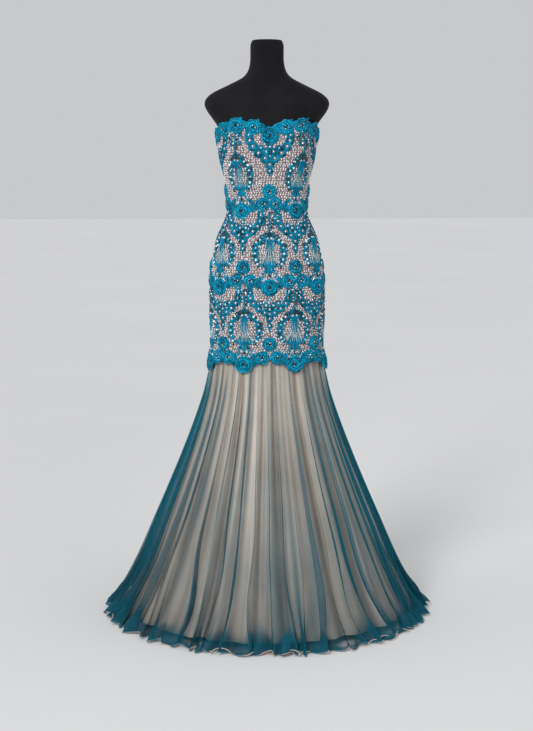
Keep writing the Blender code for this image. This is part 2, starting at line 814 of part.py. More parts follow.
def prism(name, loop, low, high, finish):
    """A solid with an outline in the plane of Y and Z, between two places along X."""
    bm = bmesh.new()
    ends = [[bm.verts.new((x, y, z)) for y, z in loop] for x in (low, high)]
    for n in range(len(loop)):
        m = (n + 1) % len(loop)
        bm.faces.new((ends[0][n], ends[1][n], ends[1][m], ends[0][m]))
    bm.faces.new(ends[0])
    bm.faces.new(ends[1])
    return object_from(name, bm, finish, smooth=False)


def make_slider(face):
    """The zip's slider: a body with an arched bridge that holds the pull."""
    width, depth, height = SLIDER
    low = (-width / 2, face, SLIDER_HEIGHT - height / 2)
    high = (width / 2, face + depth, SLIDER_HEIGHT + height / 2)
    slider = box("zip_slider", low, high, "zip_metal")
    middle = face + depth + PULL_AXIS_OFF
    root = face + depth / 2
    loop = []
    for radius, order in ((BRIDGE_OUTER, 1), (BRIDGE_INNER, -1)):
        arc = [math.pi * (n / BRIDGE_STEPS - 0.5) for n in range(BRIDGE_STEPS + 1)][::order]
        arch = [(middle + radius * math.cos(a), SLIDER_HEIGHT + radius * math.sin(a)) for a in arc]
        ends = [(root, SLIDER_HEIGHT - radius * order), (root, SLIDER_HEIGHT + radius * order)]
        loop += [ends[0], *arch, ends[1]]
    bridge = prism("slider_bridge", loop, -BRIDGE_WIDTH / 2, BRIDGE_WIDTH / 2, "zip_metal")
    bridge.hide_render = True
    bridge.display_type = "WIRE"
    union = slider.modifiers.new("Bridge", "BOOLEAN")
    union.operation = "UNION"
    union.object = bridge
    return middle


def make_pull(axis_y):
    """The pull tab, a plate with a window round the slider's bridge and a round foot."""
    half = PULL_WIDTH / 2
    foot = SLIDER_HEIGHT - PULL_LENGTH + half
    arc = [math.pi * n / PULL_TIP_STEPS for n in range(PULL_TIP_STEPS + 1)]
    edge = [(half, SLIDER_HEIGHT + PULL_BAR)]
    edge += [(half * math.cos(a), foot - half * math.sin(a)) for a in arc]
    edge += [(-half, SLIDER_HEIGHT + PULL_BAR)]
    top, low = SLIDER_HEIGHT - PULL_BAR, SLIDER_HEIGHT - PULL_WINDOW
    right, left = PULL_WINDOW_HALF, -PULL_WINDOW_HALF
    window = [(right, top), (right, low), (left, low), (left, top)]
    points = [Vector(point) * 1000 for point in edge + window]
    lines = [(n, (n + 1) % len(edge)) for n in range(len(edge))]
    lines += [(len(edge) + n, len(edge) + (n + 1) % 4) for n in range(4)]
    places, _, faces, *_ = delaunay_2d_cdt(points, lines, [], 0, 1e-6)
    hole = [(x * 1000, z * 1000) for x, z in window]
    kept = []
    for face in faces:
        middle = sum((places[n] for n in face), Vector((0, 0))) / len(face)
        if not inside(middle, hole):
            kept.append(face)
    bm = bmesh.new()
    skins = []
    for y in (axis_y - PULL_THICK / 2, axis_y + PULL_THICK / 2):
        skins.append([bm.verts.new((place.x / 1000, y, place.y / 1000)) for place in places])
    sides = {(a, b) for face in kept for a, b in zip(face, face[1:] + face[:1])}
    for face in kept:
        for skin in skins:
            bm.faces.new([skin[n] for n in face])
    for a, b in sides:
        if (b, a) not in sides:
            bm.faces.new((skins[0][a], skins[1][a], skins[1][b], skins[0][b]))
    pull = object_from("zip_pull", bm, "zip_metal", smooth=False)
    hinge = bpy.data.objects.new("pull_hinge", None)
    hinge.location = (0, axis_y, SLIDER_HEIGHT)
    bpy.context.scene.collection.objects.link(hinge)
    pull.data.transform(hinge.matrix_basis.inverted())
    pull.parent = hinge


def make_zip():
    """The zip's chain down the centre back, its slider and its pull."""
    top = neckline(math.pi) - ZIP_TOP_DROP
    heights = [top, *(z for z in reversed(SHEATH_HEIGHTS) if z > ZIP_FOOT), ZIP_FOOT + SEAM_GAP]
    grids = []
    for wall in (0.0, SHEATH_WALL):
        rows = []
        for z in heights:
            back = surface_point(FIGURE, math.pi, z, sheath_inner(z) + wall)
            rows.append([Vector((x, back.y, z)) for x in (ZIP_HALF_WIDTH, -ZIP_HALF_WIDTH)])
        grids.append(rows)
    shell("zip_chain", *grids, "zip_metal")
    slider_top = SLIDER_HEIGHT + SLIDER[2] / 2
    slider_foot = SLIDER_HEIGHT - SLIDER[2] / 2
    outer = [
        surface_point(FIGURE, math.pi, z, sheath_inner(z) + SHEATH_WALL).y
        for z in (slider_top, 1.290, SLIDER_HEIGHT, slider_foot)
    ]
    make_pull(make_slider(max(outer) + SEAM_GAP))


def main():
    """Builds the form, its stand and the gown on it."""
    clear_scene()
    make_form()
    make_stand()
    make_sheath()
    make_zip()
    make_lace()
    make_skirt()


main()
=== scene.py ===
"""Strapless trumpet ballroom gown on a limbless dress form, dressed for a studio picture.

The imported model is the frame: every soft solid is replaced by cloth, lace, beads or stones of the
same place and size, and the hard solids keep their shape and get their finishes.
"""

import logging
import math
from collections.abc import Callable
from dataclasses import dataclass
from enum import Enum

import bpy
import numpy as np
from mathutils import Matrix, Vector


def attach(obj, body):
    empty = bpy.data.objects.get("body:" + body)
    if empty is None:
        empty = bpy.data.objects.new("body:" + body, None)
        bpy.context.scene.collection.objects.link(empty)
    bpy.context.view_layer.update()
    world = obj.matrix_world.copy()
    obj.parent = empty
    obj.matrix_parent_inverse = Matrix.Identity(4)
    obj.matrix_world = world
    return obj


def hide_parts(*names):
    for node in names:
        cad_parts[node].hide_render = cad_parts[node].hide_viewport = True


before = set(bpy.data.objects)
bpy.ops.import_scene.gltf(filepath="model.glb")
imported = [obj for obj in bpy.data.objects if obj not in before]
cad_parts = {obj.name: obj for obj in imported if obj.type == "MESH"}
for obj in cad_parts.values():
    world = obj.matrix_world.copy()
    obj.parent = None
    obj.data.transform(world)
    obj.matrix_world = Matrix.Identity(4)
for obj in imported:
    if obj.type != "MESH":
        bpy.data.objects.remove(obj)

log = logging.getLogger("gown")
BODY = "gown_on_form"

# Heights above the floor and clearances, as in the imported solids
WAIST_BAND = 1.137
HIP_BAND = 0.930
THIGH_BAND = 0.7203
SHEATH_HEM = 0.715
ZIP_FOOT = 0.862
SHEATH_CLEAR = 0.0006
SHEATH_BUST_CLEAR = 0.0024
SHEATH_WALL = 0.0015
BUST_EASE_FROM = 1.17
BUST_EASE_TO = 1.24
LACE_FLARE = 0.007
LACE_FLARE_FROM = 0.740
LACE_FLARE_OVER = 0.050
FIGURE_FULLNESS = 0.94
CUP_ANGLE = math.radians(37)
CUP_SPREAD = math.radians(24)
CUP_BRIDGE = 0.35
CUP_BRIDGE_SPREAD = math.radians(16)

# How the finer lace of the scene lies: off the ground, over the skirt, and clear of the zip
LACE_CLEAR = 0.0008
LACE_FLARE_MOST = 1.4
MOST_PUSH = (-0.02, 0.045)
HALVES_MEET = 0.006
ZIP_MARGIN = 0.005
MOTIF_FROM_ZIP = 0.0045
CORD_FROM_ZIP = 0.0055
USUAL_GIRTH = 0.8

# What every finish has in common
COAT_ROUGHNESS = 0.08
SHEEN_ROUGHNESS = 0.4
THREAD_RELIEF = 0.0006
TONE_WEIGHT = 0.85


@dataclass(frozen=True)
class Section:
    """A level section: half its width, and its depth before and behind the axis, in metres."""

    z: float
    half_width: float
    front: float
    back: float
    cup: float = 0.0


FIGURE = (
    Section(0.660, 0.1533, 0.0968, 0.1098),
    Section(0.713, 0.1533, 0.0968, 0.1108),
    Section(0.760, 0.1523, 0.0978, 0.1128),
    Section(0.800, 0.1533, 0.0988, 0.1158),
    Section(0.850, 0.1548, 0.0998, 0.1198),
    Section(0.900, 0.1548, 0.0998, 0.1218),
    Section(0.940, 0.1523, 0.0988, 0.1198),
    Section(0.980, 0.1483, 0.0958, 0.1148),
    Section(1.020, 0.1403, 0.0918, 0.1058),
    Section(1.050, 0.1328, 0.0888, 0.0968),
    Section(1.080, 0.1193, 0.0858, 0.0878),
    Section(1.110, 0.1078, 0.0828, 0.0808),
    Section(1.140, 0.1058, 0.0818, 0.0768),
    Section(1.170, 0.1078, 0.0838, 0.0758, 0.001),
    Section(1.200, 0.1108, 0.0868, 0.0778, 0.005),
    Section(1.230, 0.1158, 0.0908, 0.0808, 0.012),
    Section(1.260, 0.1233, 0.0948, 0.0838, 0.019),
    Section(1.290, 0.1288, 0.0968, 0.0868, 0.021),
    Section(1.320, 0.1313, 0.0958, 0.0888, 0.015),
    Section(1.350, 0.1355, 0.0940, 0.0910, 0.007),
    Section(1.372, 0.1500, 0.0900, 0.0900, 0.002),
    Section(1.390, 0.1630, 0.0840, 0.0880),
    Section(1.408, 0.1705, 0.0770, 0.0840),
    Section(1.424, 0.1670, 0.0680, 0.0790),
    Section(1.441, 0.1480, 0.0600, 0.0720),
    Section(1.463, 0.1030, 0.0520, 0.0640),
    Section(1.485, 0.0630, 0.0470, 0.0550),
    Section(1.515, 0.0475, 0.0450, 0.0470),
    Section(1.570, 0.0450, 0.0450, 0.0450),
    Section(1.582, 0.0400, 0.0400, 0.0400),
)
SKIRT = (
    Section(0.0015, 0.463, 0.463, 0.463),
    Section(0.110, 0.394, 0.388, 0.391),
    Section(0.270, 0.320, 0.304, 0.312),
    Section(0.450, 0.242, 0.212, 0.223),
    Section(0.600, 0.1850, 0.141, 0.154),
    Section(0.685, 0.1625, 0.1085, 0.122),
    Section(0.7120, 0.1567, 0.1002, 0.1142),
)


@dataclass(frozen=True)
class Edge:
    """The neckline's height at an angle from the centre front, alike on both sides."""

    degrees: float
    z: float


NECKLINE = (
    Edge(0, 1.333), Edge(30, 1.352), Edge(60, 1.343), Edge(90, 1.326), Edge(140, 1.305), Edge(180, 1.300),
)


@dataclass(frozen=True)
class Fold:
    """How deep the folds of both skirt layers are at a height, and the room between the layers."""

    z: float
    tulle: float
    satin: float
    room: float


FOLDS = (
    Fold(0.0015, 0.034, 0.018, 0.006),
    Fold(0.110, 0.030, 0.016, 0.006),
    Fold(0.270, 0.023, 0.013, 0.005),
    Fold(0.450, 0.016, 0.009, 0.003),
    Fold(0.600, 0.0085, 0.005, 0.002),
    Fold(0.685, 0.003, 0.0025, 0.001),
    Fold(0.7120, 0.0005, 0.001, 0.0008),
)


@dataclass(frozen=True)
class LaceRow:
    """A row of lace repeats between two bands; its top may follow the neckline."""

    top: float | None
    foot: float
    columns: int
    shift: float
    motif: float = 1.0
    swag: float = 1.0
    swag_drop: float = 1.0
    eyelet: float = 1.0
    first_axis: float | None = None

    @property
    def half(self) -> float:
        """Half a repeat, as a part of the girth."""
        return 0.5 / self.columns

    def straightened(self, q: np.ndarray, girth: np.ndarray) -> np.ndarray:
        """Parts of the girth with the first axes beside the centres kept at one distance from them.

        Args:
            q: Evenly spread parts of the girth.
            girth: The girth at each place, in metres.

        Returns:
            The parts, crowded a little at the sides where the girth is small.
        """
        if self.first_axis is None:
            return q
        push = (self.first_axis / girth - self.half) / math.sin(4 * math.pi * self.half)
        return q + np.clip(push, *MOST_PUSH) * np.sin(4 * math.pi * q)

    def axes(self, past: float) -> list[float]:
        """The axes of a motif, from the centre back round to it again.

        Args:
            past: How far past the fans they are, in repeats.

        Returns:
            The axes as parts of the girth, each of them once.
        """
        found = [(n + self.shift + past) / self.columns for n in range(-self.columns, self.columns + 1)]
        return [q for q in found if -0.5 + 1e-6 < q <= 0.5 + 1e-6]


LACE_ROWS = (
    LaceRow(None, WAIST_BAND, 4, 0.5, motif=0.62, swag=0.79, swag_drop=0.93, eyelet=1.20),
    LaceRow(WAIST_BAND, HIP_BAND, 6, 0.0, motif=0.90, swag=0.92, eyelet=1.05, first_axis=0.0715),
    LaceRow(HIP_BAND, THIGH_BAND, 7, 0.5, first_axis=0.0685),
)


class Shade(Enum):
    """How a piece's faces are shaded."""

    SMOOTH = "smooth"
    FLAT = "flat"


class Side(Enum):
    """Which half of the gown a repeated trim belongs to."""

    FRONT = "front"
    BACK = "back"


def smooth_column(keys: np.ndarray, values: np.ndarray, at: np.ndarray) -> np.ndarray:
    """Reads a table's column along a smooth curve.

    Args:
        keys: Rising places of the table's rows.
        values: The column's values there.
        at: Places to read, which are held within the table.

    Returns:
        The values at those places.
    """
    slopes = np.empty_like(values)
    slopes[1:-1] = (values[2:] - values[:-2]) / (keys[2:] - keys[:-2])
    slopes[0] = (values[1] - values[0]) / (keys[1] - keys[0])
    slopes[-1] = (values[-1] - values[-2]) / (keys[-1] - keys[-2])
    at = np.clip(at, keys[0], keys[-1])
    n = np.clip(np.searchsorted(keys, at, side="right") - 1, 0, len(keys) - 2)
    span = keys[n + 1] - keys[n]
    t = (at - keys[n]) / span
    return (
        (2 * t**3 - 3 * t**2 + 1) * values[n]
        + (t**3 - 2 * t**2 + t) * span * slopes[n]
        + (3 * t**2 - 2 * t**3) * values[n + 1]
        + (t**3 - t**2) * span * slopes[n + 1]
    )


def table_column(rows: tuple, key: str, column: str, at: np.ndarray) -> np.ndarray:
    """Reads one column of a table of dataclass rows.

    Args:
        rows: The table.
        key: The name of the column of rising places.
        column: The name of the column to read.
        at: Places to read.

    Returns:
        The values at those places.
    """
    keys, values = (np.array([getattr(row, name) for row in rows], float) for name in (key, column))
    return smooth_column(keys, values, np.asarray(at, float))


def eased(value: np.ndarray, low: float, high: float) -> np.ndarray:
    """How far values are from low to high, eased at both ends."""
    t = np.clip((value - low) / (high - low), 0.0, 1.0)
    return t * t * (3 - 2 * t)


def neckline(angle: np.ndarray) -> np.ndarray:
    """The sheath's upper edge at angles from the centre front."""
    return table_column(NECKLINE, "degrees", "z", np.abs(np.degrees(angle)))


def unit(vectors: np.ndarray) -> np.ndarray:
    """The same directions, each of length one."""
    return vectors / np.linalg.norm(vectors, axis=-1, keepdims=True)


def wrapped(q: np.ndarray) -> np.ndarray:
    """Parts of the girth brought back to within half a girth of the centre front."""
    return (q + 0.5) % 1.0 - 0.5


def from_back(q: np.ndarray, girth: np.ndarray) -> np.ndarray:
    """How far places are from the centre back along the girth, in metres."""
    return np.abs(np.abs(wrapped(q)) - 0.5) * girth


class FigureSurface:
    """The figure under the sheath, read by part of the girth from the centre front and by height."""

    FOOT = 0.664
    TOP = 1.5821
    STEP = 0.002
    ANGLES = 1441
    PARTS = 720

    def __init__(self) -> None:
        """Works out a fine grid of the figure once."""
        self.heights = np.arange(self.FOOT, self.TOP, self.STEP)
        names = ("half_width", "front", "back", "cup")
        half, front, back, cup = (table_column(FIGURE, "z", name, self.heights)[:, None] for name in names)
        self.angles = np.linspace(-math.pi, math.pi, self.ANGLES)
        sine, cosine = np.sin(self.angles), np.cos(self.angles)
        depth = np.where(cosine > 0, front, back)
        bump = np.exp(-(((np.abs(self.angles) - CUP_ANGLE) / CUP_SPREAD) ** 2))
        bump = bump + CUP_BRIDGE * np.exp(-((self.angles / CUP_BRIDGE_SPREAD) ** 2))
        x = half * np.sign(sine) * np.abs(sine) ** FIGURE_FULLNESS
        y = -depth * np.sign(cosine) * np.abs(cosine) ** FIGURE_FULLNESS - cup * bump
        steps = np.hypot(np.diff(x, axis=1), np.diff(y, axis=1))
        lengths = np.concatenate([np.zeros((len(x), 1)), np.cumsum(steps, axis=1)], axis=1)
        self.girths = lengths[:, -1]
        self.parts_of_angles = lengths / lengths[:, -1:] - 0.5
        self.parts = np.linspace(-0.5, 0.5, self.PARTS + 1)
        self.x, self.y = (
            np.stack([np.interp(self.parts, p, row) for p, row in zip(self.parts_of_angles, grid)])
            for grid in (x, y)
        )
        self.normals = self._normals()

    def _normals(self) -> np.ndarray:
        """Works out the grid's outward normals.

        Returns:
            One unit vector for each of its points.
        """
        flat, rise = np.zeros_like(self.x), np.full_like(self.x, self.STEP)
        along = np.stack([np.gradient(self.x, axis=1), np.gradient(self.y, axis=1), flat], -1)
        up = np.stack([np.gradient(self.x, axis=0), np.gradient(self.y, axis=0), rise], -1)
        along[:, 0] = along[:, -1] = (along[:, 1] + along[:, -2]) / 2
        return unit(np.cross(along, up))

    def _row(self, z: float) -> int:
        """The grid's row nearest to a height."""
        return int(np.clip(round((z - self.heights[0]) / self.STEP), 0, len(self.heights) - 1))

    def _read(self, grid: np.ndarray, q: np.ndarray, z: np.ndarray) -> np.ndarray:
        """Reads a grid between its points.

        Args:
            grid: Numbers or vectors, one for each point.
            q: Parts of the girth.
            z: Heights.

        Returns:
            The values there.
        """
        column = ((np.asarray(q) + 0.5) % 1.0) * self.PARTS
        row = np.clip((np.asarray(z) - self.heights[0]) / self.STEP, 0, len(self.heights) - 1.001)
        c, r = column.astype(int), row.astype(int)
        a, b = column - c, row - r
        if grid.ndim == 3:
            a, b = a[..., None], b[..., None]
        c = np.clip(c, 0, self.PARTS - 1)
        low = grid[r, c] * (1 - a) + grid[r, c + 1] * a
        high = grid[r + 1, c] * (1 - a) + grid[r + 1, c + 1] * a
        return low * (1 - b) + high * b

    def girth(self, z: np.ndarray) -> np.ndarray:
        """The girth at heights, in metres."""
        return np.interp(z, self.heights, self.girths)

    def part_at(self, angle: float, z: float) -> float:
        """The part of the girth at an angle from the centre front."""
        return float(np.interp(angle, self.angles, self.parts_of_angles[self._row(z)]))

    def angle_at(self, q: np.ndarray, z: float) -> np.ndarray:
        """The angle from the centre front at parts of the girth."""
        return np.interp(q, self.parts_of_angles[self._row(z)], self.angles)

    def normal(self, q: np.ndarray, z: np.ndarray) -> np.ndarray:
        """Outward unit normals."""
        return unit(self._read(self.normals, q, z))

    def place(self, q: np.ndarray, z: np.ndarray, out: np.ndarray) -> np.ndarray:
        """Points of the figure, moved out along its normals.

        Args:
            q: Parts of the girth, 0 at the centre front and positive to the wearer's left.
            z: Heights.
            out: How far out of the figure.

        Returns:
            The points, with their coordinates last.
        """
        q, z = np.broadcast_arrays(np.asarray(q, float), np.asarray(z, float))
        points = np.stack([self._read(self.x, q, z), self._read(self.y, q, z), z], -1)
        return points + self.normal(q, z) * np.asarray(out)[..., None]

    def row_height(self, row: LaceRow, q: np.ndarray, down: np.ndarray) -> np.ndarray:
        """The heights of places in a lace row.

        Args:
            row: The row.
            q: Parts of the girth.
            down: How far down the row, from 0 on the band above to 1 on the band below.

        Returns:
            The heights.
        """
        if row.top is None:
            top = neckline(self.angle_at(wrapped(np.asarray(q)), WAIST_BAND))
        else:
            top = np.full_like(np.asarray(q, float), row.top)
        return top + (row.foot - top) * down


FIGURE_SURFACE = FigureSurface()


def ground_out(z: np.ndarray) -> np.ndarray:
    """How far the sheath's outer face stands off the figure."""
    bust = eased(z, BUST_EASE_FROM, BUST_EASE_TO)
    return SHEATH_CLEAR + (SHEATH_BUST_CLEAR - SHEATH_CLEAR) * bust + SHEATH_WALL


def lace_out(z: np.ndarray) -> np.ndarray:
    """How far the lace's foot stands off the figure: it flares over the top of the skirt."""
    flare = np.clip((LACE_FLARE_FROM - z) / LACE_FLARE_OVER, 0, LACE_FLARE_MOST)
    return ground_out(z) + LACE_CLEAR + LACE_FLARE * flare


# Meshes


@dataclass
class Patch:
    """One motif as triangles: x across, y up and z out of the cloth, with a tone for each point."""

    points: np.ndarray
    triangles: np.ndarray
    tone: np.ndarray

    def sized(self, size: tuple[float, float, float]) -> "Patch":
        """The same motif with its points scaled along x, y and z."""
        return Patch(self.points * np.array(size), self.triangles, self.tone)


def patch_from_active() -> Patch:
    """Takes the active object's mesh as a motif and removes the object.

    Returns:
        The motif, in a middle tone.
    """
    obj = bpy.context.object
    mesh = obj.data
    mesh.transform(obj.matrix_world)
    mesh.calc_loop_triangles()
    points = np.empty(len(mesh.vertices) * 3)
    mesh.vertices.foreach_get("co", points)
    triangles = np.empty(len(mesh.loop_triangles) * 3, int)
    mesh.loop_triangles.foreach_get("vertices", triangles)
    bpy.data.objects.remove(obj)
    bpy.data.meshes.remove(mesh)
    points = points.reshape(-1, 3)
    return Patch(points, triangles.reshape(-1, 3), np.full(len(points), 0.5))


def object_from_arrays(
    name: str,
    points: np.ndarray,
    faces: np.ndarray,
    material: bpy.types.Material,
    shade: Shade = Shade.SMOOTH,
    attributes: dict[str, np.ndarray] | None = None,
    uv: np.ndarray | None = None,
) -> bpy.types.Object:
    """Makes an object of a mesh whose faces all have the same number of corners.

    Args:
        name: The piece's name.
        points: Its points, one row each.
        faces: The points' numbers, one row for each face.
        material: Its finish.
        shade: Smooth or flat.
        attributes: Numbers for each point, by name.
        uv: A place in the pattern for each point, for materials that follow the cloth.

    Returns:
        The new object, at the origin.
    """
    mesh = bpy.data.meshes.new(name)
    mesh.vertices.add(len(points))
    mesh.vertices.foreach_set("co", np.ascontiguousarray(points, np.float32).ravel())
    corners = faces.shape[1]
    mesh.loops.add(faces.size)
    mesh.loops.foreach_set("vertex_index", np.ascontiguousarray(faces, np.int32).ravel())
    mesh.polygons.add(len(faces))
    mesh.polygons.foreach_set("loop_start", np.arange(0, faces.size, corners, dtype=np.int32))
    mesh.update(calc_edges=True)
    mesh.validate()
    for key, values in (attributes or {}).items():
        made = mesh.attributes.new(key, "FLOAT", "POINT")
        made.data.foreach_set("value", np.ascontiguousarray(values, np.float32))
    if uv is not None:
        layer = mesh.uv_layers.new(name="cloth")
        layer.data.foreach_set("uv", np.ascontiguousarray(uv[faces.ravel()], np.float32).ravel())
    mesh.polygons.foreach_set("use_smooth", np.full(len(faces), shade is Shade.SMOOTH))
    mesh.materials.append(material)
    obj = bpy.data.objects.new(name, mesh)
    bpy.context.scene.collection.objects.link(obj)
    return obj


def grid_faces(rows: int, columns: int, closed: bool = False) -> np.ndarray:
    """Four-sided faces over a grid of points numbered row by row.

    Args:
        rows: Rows of points.
        columns: Points in a row.
        closed: Whether the last column joins the first.

    Returns:
        One row of four point numbers for each face.
    """
    across = columns if closed else columns - 1
    r, c = np.meshgrid(np.arange(rows - 1), np.arange(across), indexing="ij")
    d = (c + 1) % columns
    above, below = r * columns, (r + 1) * columns
    return np.stack([above + c, below + c, below + d, above + d], -1).reshape(-1, 4)


def halved(quads: np.ndarray) -> np.ndarray:
    """Two triangles for each four-sided face."""
    return np.concatenate([quads[:, [0, 1, 2]], quads[:, [0, 2, 3]]])


def rings(first: np.ndarray, second: np.ndarray, sides: int) -> np.ndarray:
    """Rings of directions, for the sections of a cord.

    Args:
        first: A direction across the cord at each place.
        second: The other one.
        sides: Points in a ring.

    Returns:
        The directions, ring by ring.
    """
    turn = np.linspace(0, 2 * math.pi, sides, endpoint=False)
    return first[:, None] * np.cos(turn)[None, :, None] + second[:, None] * np.sin(turn)[None, :, None]


class Trim:
    """Gathers many copies of motifs into one piece for each half of the gown."""

    END_WIDTH, MIDDLE_WIDTH = 0.45, 0.55
    END_TURN = 0.12

    def __init__(
        self, name: str, material: bpy.types.Material, slot: str, shade: Shade = Shade.SMOOTH
    ) -> None:
        """Starts an empty trim.

        Args:
            name: The start of its pieces' names.
            material: Their finish.
            slot: Their slot; it is not used.
            shade: Smooth or flat.
        """
        self.name = name
        self.material = material
        self.slot = slot
        self.shade = shade
        self.parts: dict[Side, list[tuple[np.ndarray, np.ndarray, np.ndarray]]] = {side: [] for side in Side}

    def add(self, points: np.ndarray, triangles: np.ndarray, tone: np.ndarray) -> None:
        """Adds one run of triangles, on the half where its middle lies."""
        side = Side.FRONT if points[:, 1].mean() < HALVES_MEET else Side.BACK
        self.parts[side].append((points, triangles, tone))

    def stamp(
        self, patch: Patch, q: float, z: float, angle: float = 0.0, scale: float = 1.0, lift: float = 0.0,
        shift: float = 0.0,
    ) -> bool:
        """Lays a copy of a motif on the sheath, following its curve.

        Args:
            patch: The motif.
            q: Part of the girth at its middle.
            z: Height of its middle.
            angle: Turn about its middle, in radians.
            scale: Size against the motif's own.
            lift: Extra height off the cloth.
            shift: Change of tone.

        Returns:
            Whether it was laid: beside the zip it is left out.
        """
        local = patch.points * scale
        c, s = math.cos(angle), math.sin(angle)
        across, up = local[:, 0] * c - local[:, 1] * s, local[:, 0] * s + local[:, 1] * c
        girth = FIGURE_SURFACE.girth(np.array([z]))[0]
        if z > ZIP_FOOT - ZIP_MARGIN and from_back(q, girth) < np.abs(across).max() + MOTIF_FROM_ZIP:
            return False
        zs = z + up
        points = FIGURE_SURFACE.place(q + across / girth, zs, lace_out(zs) + local[:, 2] + lift)
        self.add(points, patch.triangles, np.clip(patch.tone + shift, 0, 1))
        return True

    def run(
        self, q: np.ndarray, z: np.ndarray, radius: float, lift: float, tone: float = 0.5, sides: int = 5
    ) -> None:
        """Lays a cord along a line on the sheath.

        Args:
            q: Parts of the girth along the line.
            z: Heights along it.
            radius: The cord's radius at its middle; it tapers to both ends.
            lift: Height of its middle off the cloth.
            tone: Its tone.
            sides: Sides of its section.
        """
        girth = FIGURE_SURFACE.girth(np.array([z.mean()]))[0]
        if z.max() > ZIP_FOOT - ZIP_MARGIN and from_back(q, girth).min() < CORD_FROM_ZIP:
            return
        middle = FIGURE_SURFACE.place(q, z, lace_out(z) + lift)
        normal = FIGURE_SURFACE.normal(q, z)
        across = np.cross(unit(np.gradient(middle, axis=0)), normal)
        turn = np.linspace(self.END_TURN, math.pi - self.END_TURN, len(q))
        taper = self.END_WIDTH + self.MIDDLE_WIDTH * np.sin(turn) ** 0.5
        spokes = rings(across, normal, sides)
        points = (middle[:, None] + spokes * (radius * taper)[:, None, None]).reshape(-1, 3)
        triangles = halved(grid_faces(len(q), sides, closed=True)[:, ::-1])
        ends = []
        for first, turned in ((0, False), ((len(q) - 1) * sides, True)):
            fan = [[first, first + n, first + n + 1] for n in range(1, sides - 1)]
            ends += [face[::-1] if turned else face for face in fan]
        self.add(points, np.concatenate([triangles, np.array(ends)]), np.full(len(points), tone))

    def finish(self) -> list[bpy.types.Object]:
        """Makes the gathered pieces.

        Returns:
            One object for each half that has any.
        """
        made = []
        for side, runs in self.parts.items():
            if not runs:
                continue
            counts = np.cumsum([0] + [len(points) for points, _, _ in runs[:-1]])
            points = np.concatenate([points for points, _, _ in runs])
            triangles = np.concatenate([t + n for (_, t, _), n in zip(runs, counts)])
            tone = np.concatenate([tone for _, _, tone in runs])
            obj = object_from_arrays(
                f"{self.name}_{side.value}", points, triangles, self.material, self.shade, {"tone": tone}
            )
            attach(obj, BODY)
            log.info("%s: %d triangles", obj.name, len(triangles))
            made.append(obj)
        return made


# Finishes


Color = tuple[float, float, float]


class Nodes:
    """Short calls for building a material's or a group's nodes."""

    def __init__(self, tree: bpy.types.NodeTree) -> None:
        """Works in one node tree."""
        self.tree = tree

    def new(self, kind: str, **values: object) -> bpy.types.Node:
        """Adds a node.

        Args:
            kind: Its type.
            values: Its properties by name, and its inputs where the name is an input's.

        Returns:
            The node.
        """
        node = self.tree.nodes.new(kind)
        for key, value in values.items():
            if hasattr(node, key):
                setattr(node, key, value)
            else:
                node.inputs[key.replace("_", " ")].default_value = value
        return node

    def link(self, source: bpy.types.NodeSocket, target: bpy.types.NodeSocket) -> None:
        """Joins two sockets."""
        self.tree.links.new(source, target)

    def mix(self, mask: bpy.types.NodeSocket, first: Color, second: Color) -> bpy.types.NodeSocket:
        """Mixes two colours.

        Args:
            mask: How much of the second shows.
            first: The first colour.
            second: The second colour.

        Returns:
            The mixed colour's socket.
        """
        node = self.new("ShaderNodeMix", data_type="RGBA")
        self.link(mask, node.inputs[0])
        node.inputs[6].default_value = (*first, 1)
        node.inputs[7].default_value = (*second, 1)
        return node.outputs[2]

    def math(self, operation: str, first: object, second: object) -> bpy.types.NodeSocket:
        """Puts two numbers or sockets together.

        Args:
            operation: A sum, product or other operation, in the node's own word.
            first: The first number or socket.
            second: The second one.

        Returns:
            The result's socket.
        """
        node = self.new("ShaderNodeMath", operation=operation)
        for socket, value in zip(node.inputs, (first, second)):
            if isinstance(value, bpy.types.NodeSocket):
                self.link(value, socket)
            else:
                socket.default_value = value
        return node.outputs[0]

    def spread(self, value: bpy.types.NodeSocket, *limits: float) -> bpy.types.NodeSocket:
        """Maps a number from one range to another and holds it there.

        Args:
            value: The number's socket.
            limits: The ends of the range it comes from and of the range it goes to.

        Returns:
            The mapped number's socket.
        """
        node = self.new("ShaderNodeMapRange", clamp=True)
        self.link(value, node.inputs[0])
        for n, amount in enumerate(limits, 1):
            node.inputs[n].default_value = amount
        return node.outputs[0]


def group(
    name: str, inputs: dict[str, float], outputs: dict[str, str], build: Callable[[Nodes, dict, dict], None]
) -> bpy.types.NodeTree:
    """Makes a shader node group once.

    Args:
        name: The group's name.
        inputs: Its numbers and their usual values.
        outputs: Its outputs and the type of each socket.
        build: Builds its inside from its nodes, its input sockets and its output sockets.

    Returns:
        The group.
    """
    found = bpy.data.node_groups.get(name)
    if found:
        return found
    tree = bpy.data.node_groups.new(name, "ShaderNodeTree")
    tree.interface.new_socket("Vector", in_out="INPUT", socket_type="NodeSocketVector")
    for key, value in inputs.items():
        tree.interface.new_socket(key, in_out="INPUT", socket_type="NodeSocketFloat").default_value = value
    for key, kind in outputs.items():
        tree.interface.new_socket(key, in_out="OUTPUT", socket_type=kind)
    nodes = Nodes(tree)
    into, out = nodes.new("NodeGroupInput"), nodes.new("NodeGroupOutput")
    build(nodes, {s.name: s for s in into.outputs}, {s.name: s for s in out.inputs})
    return tree


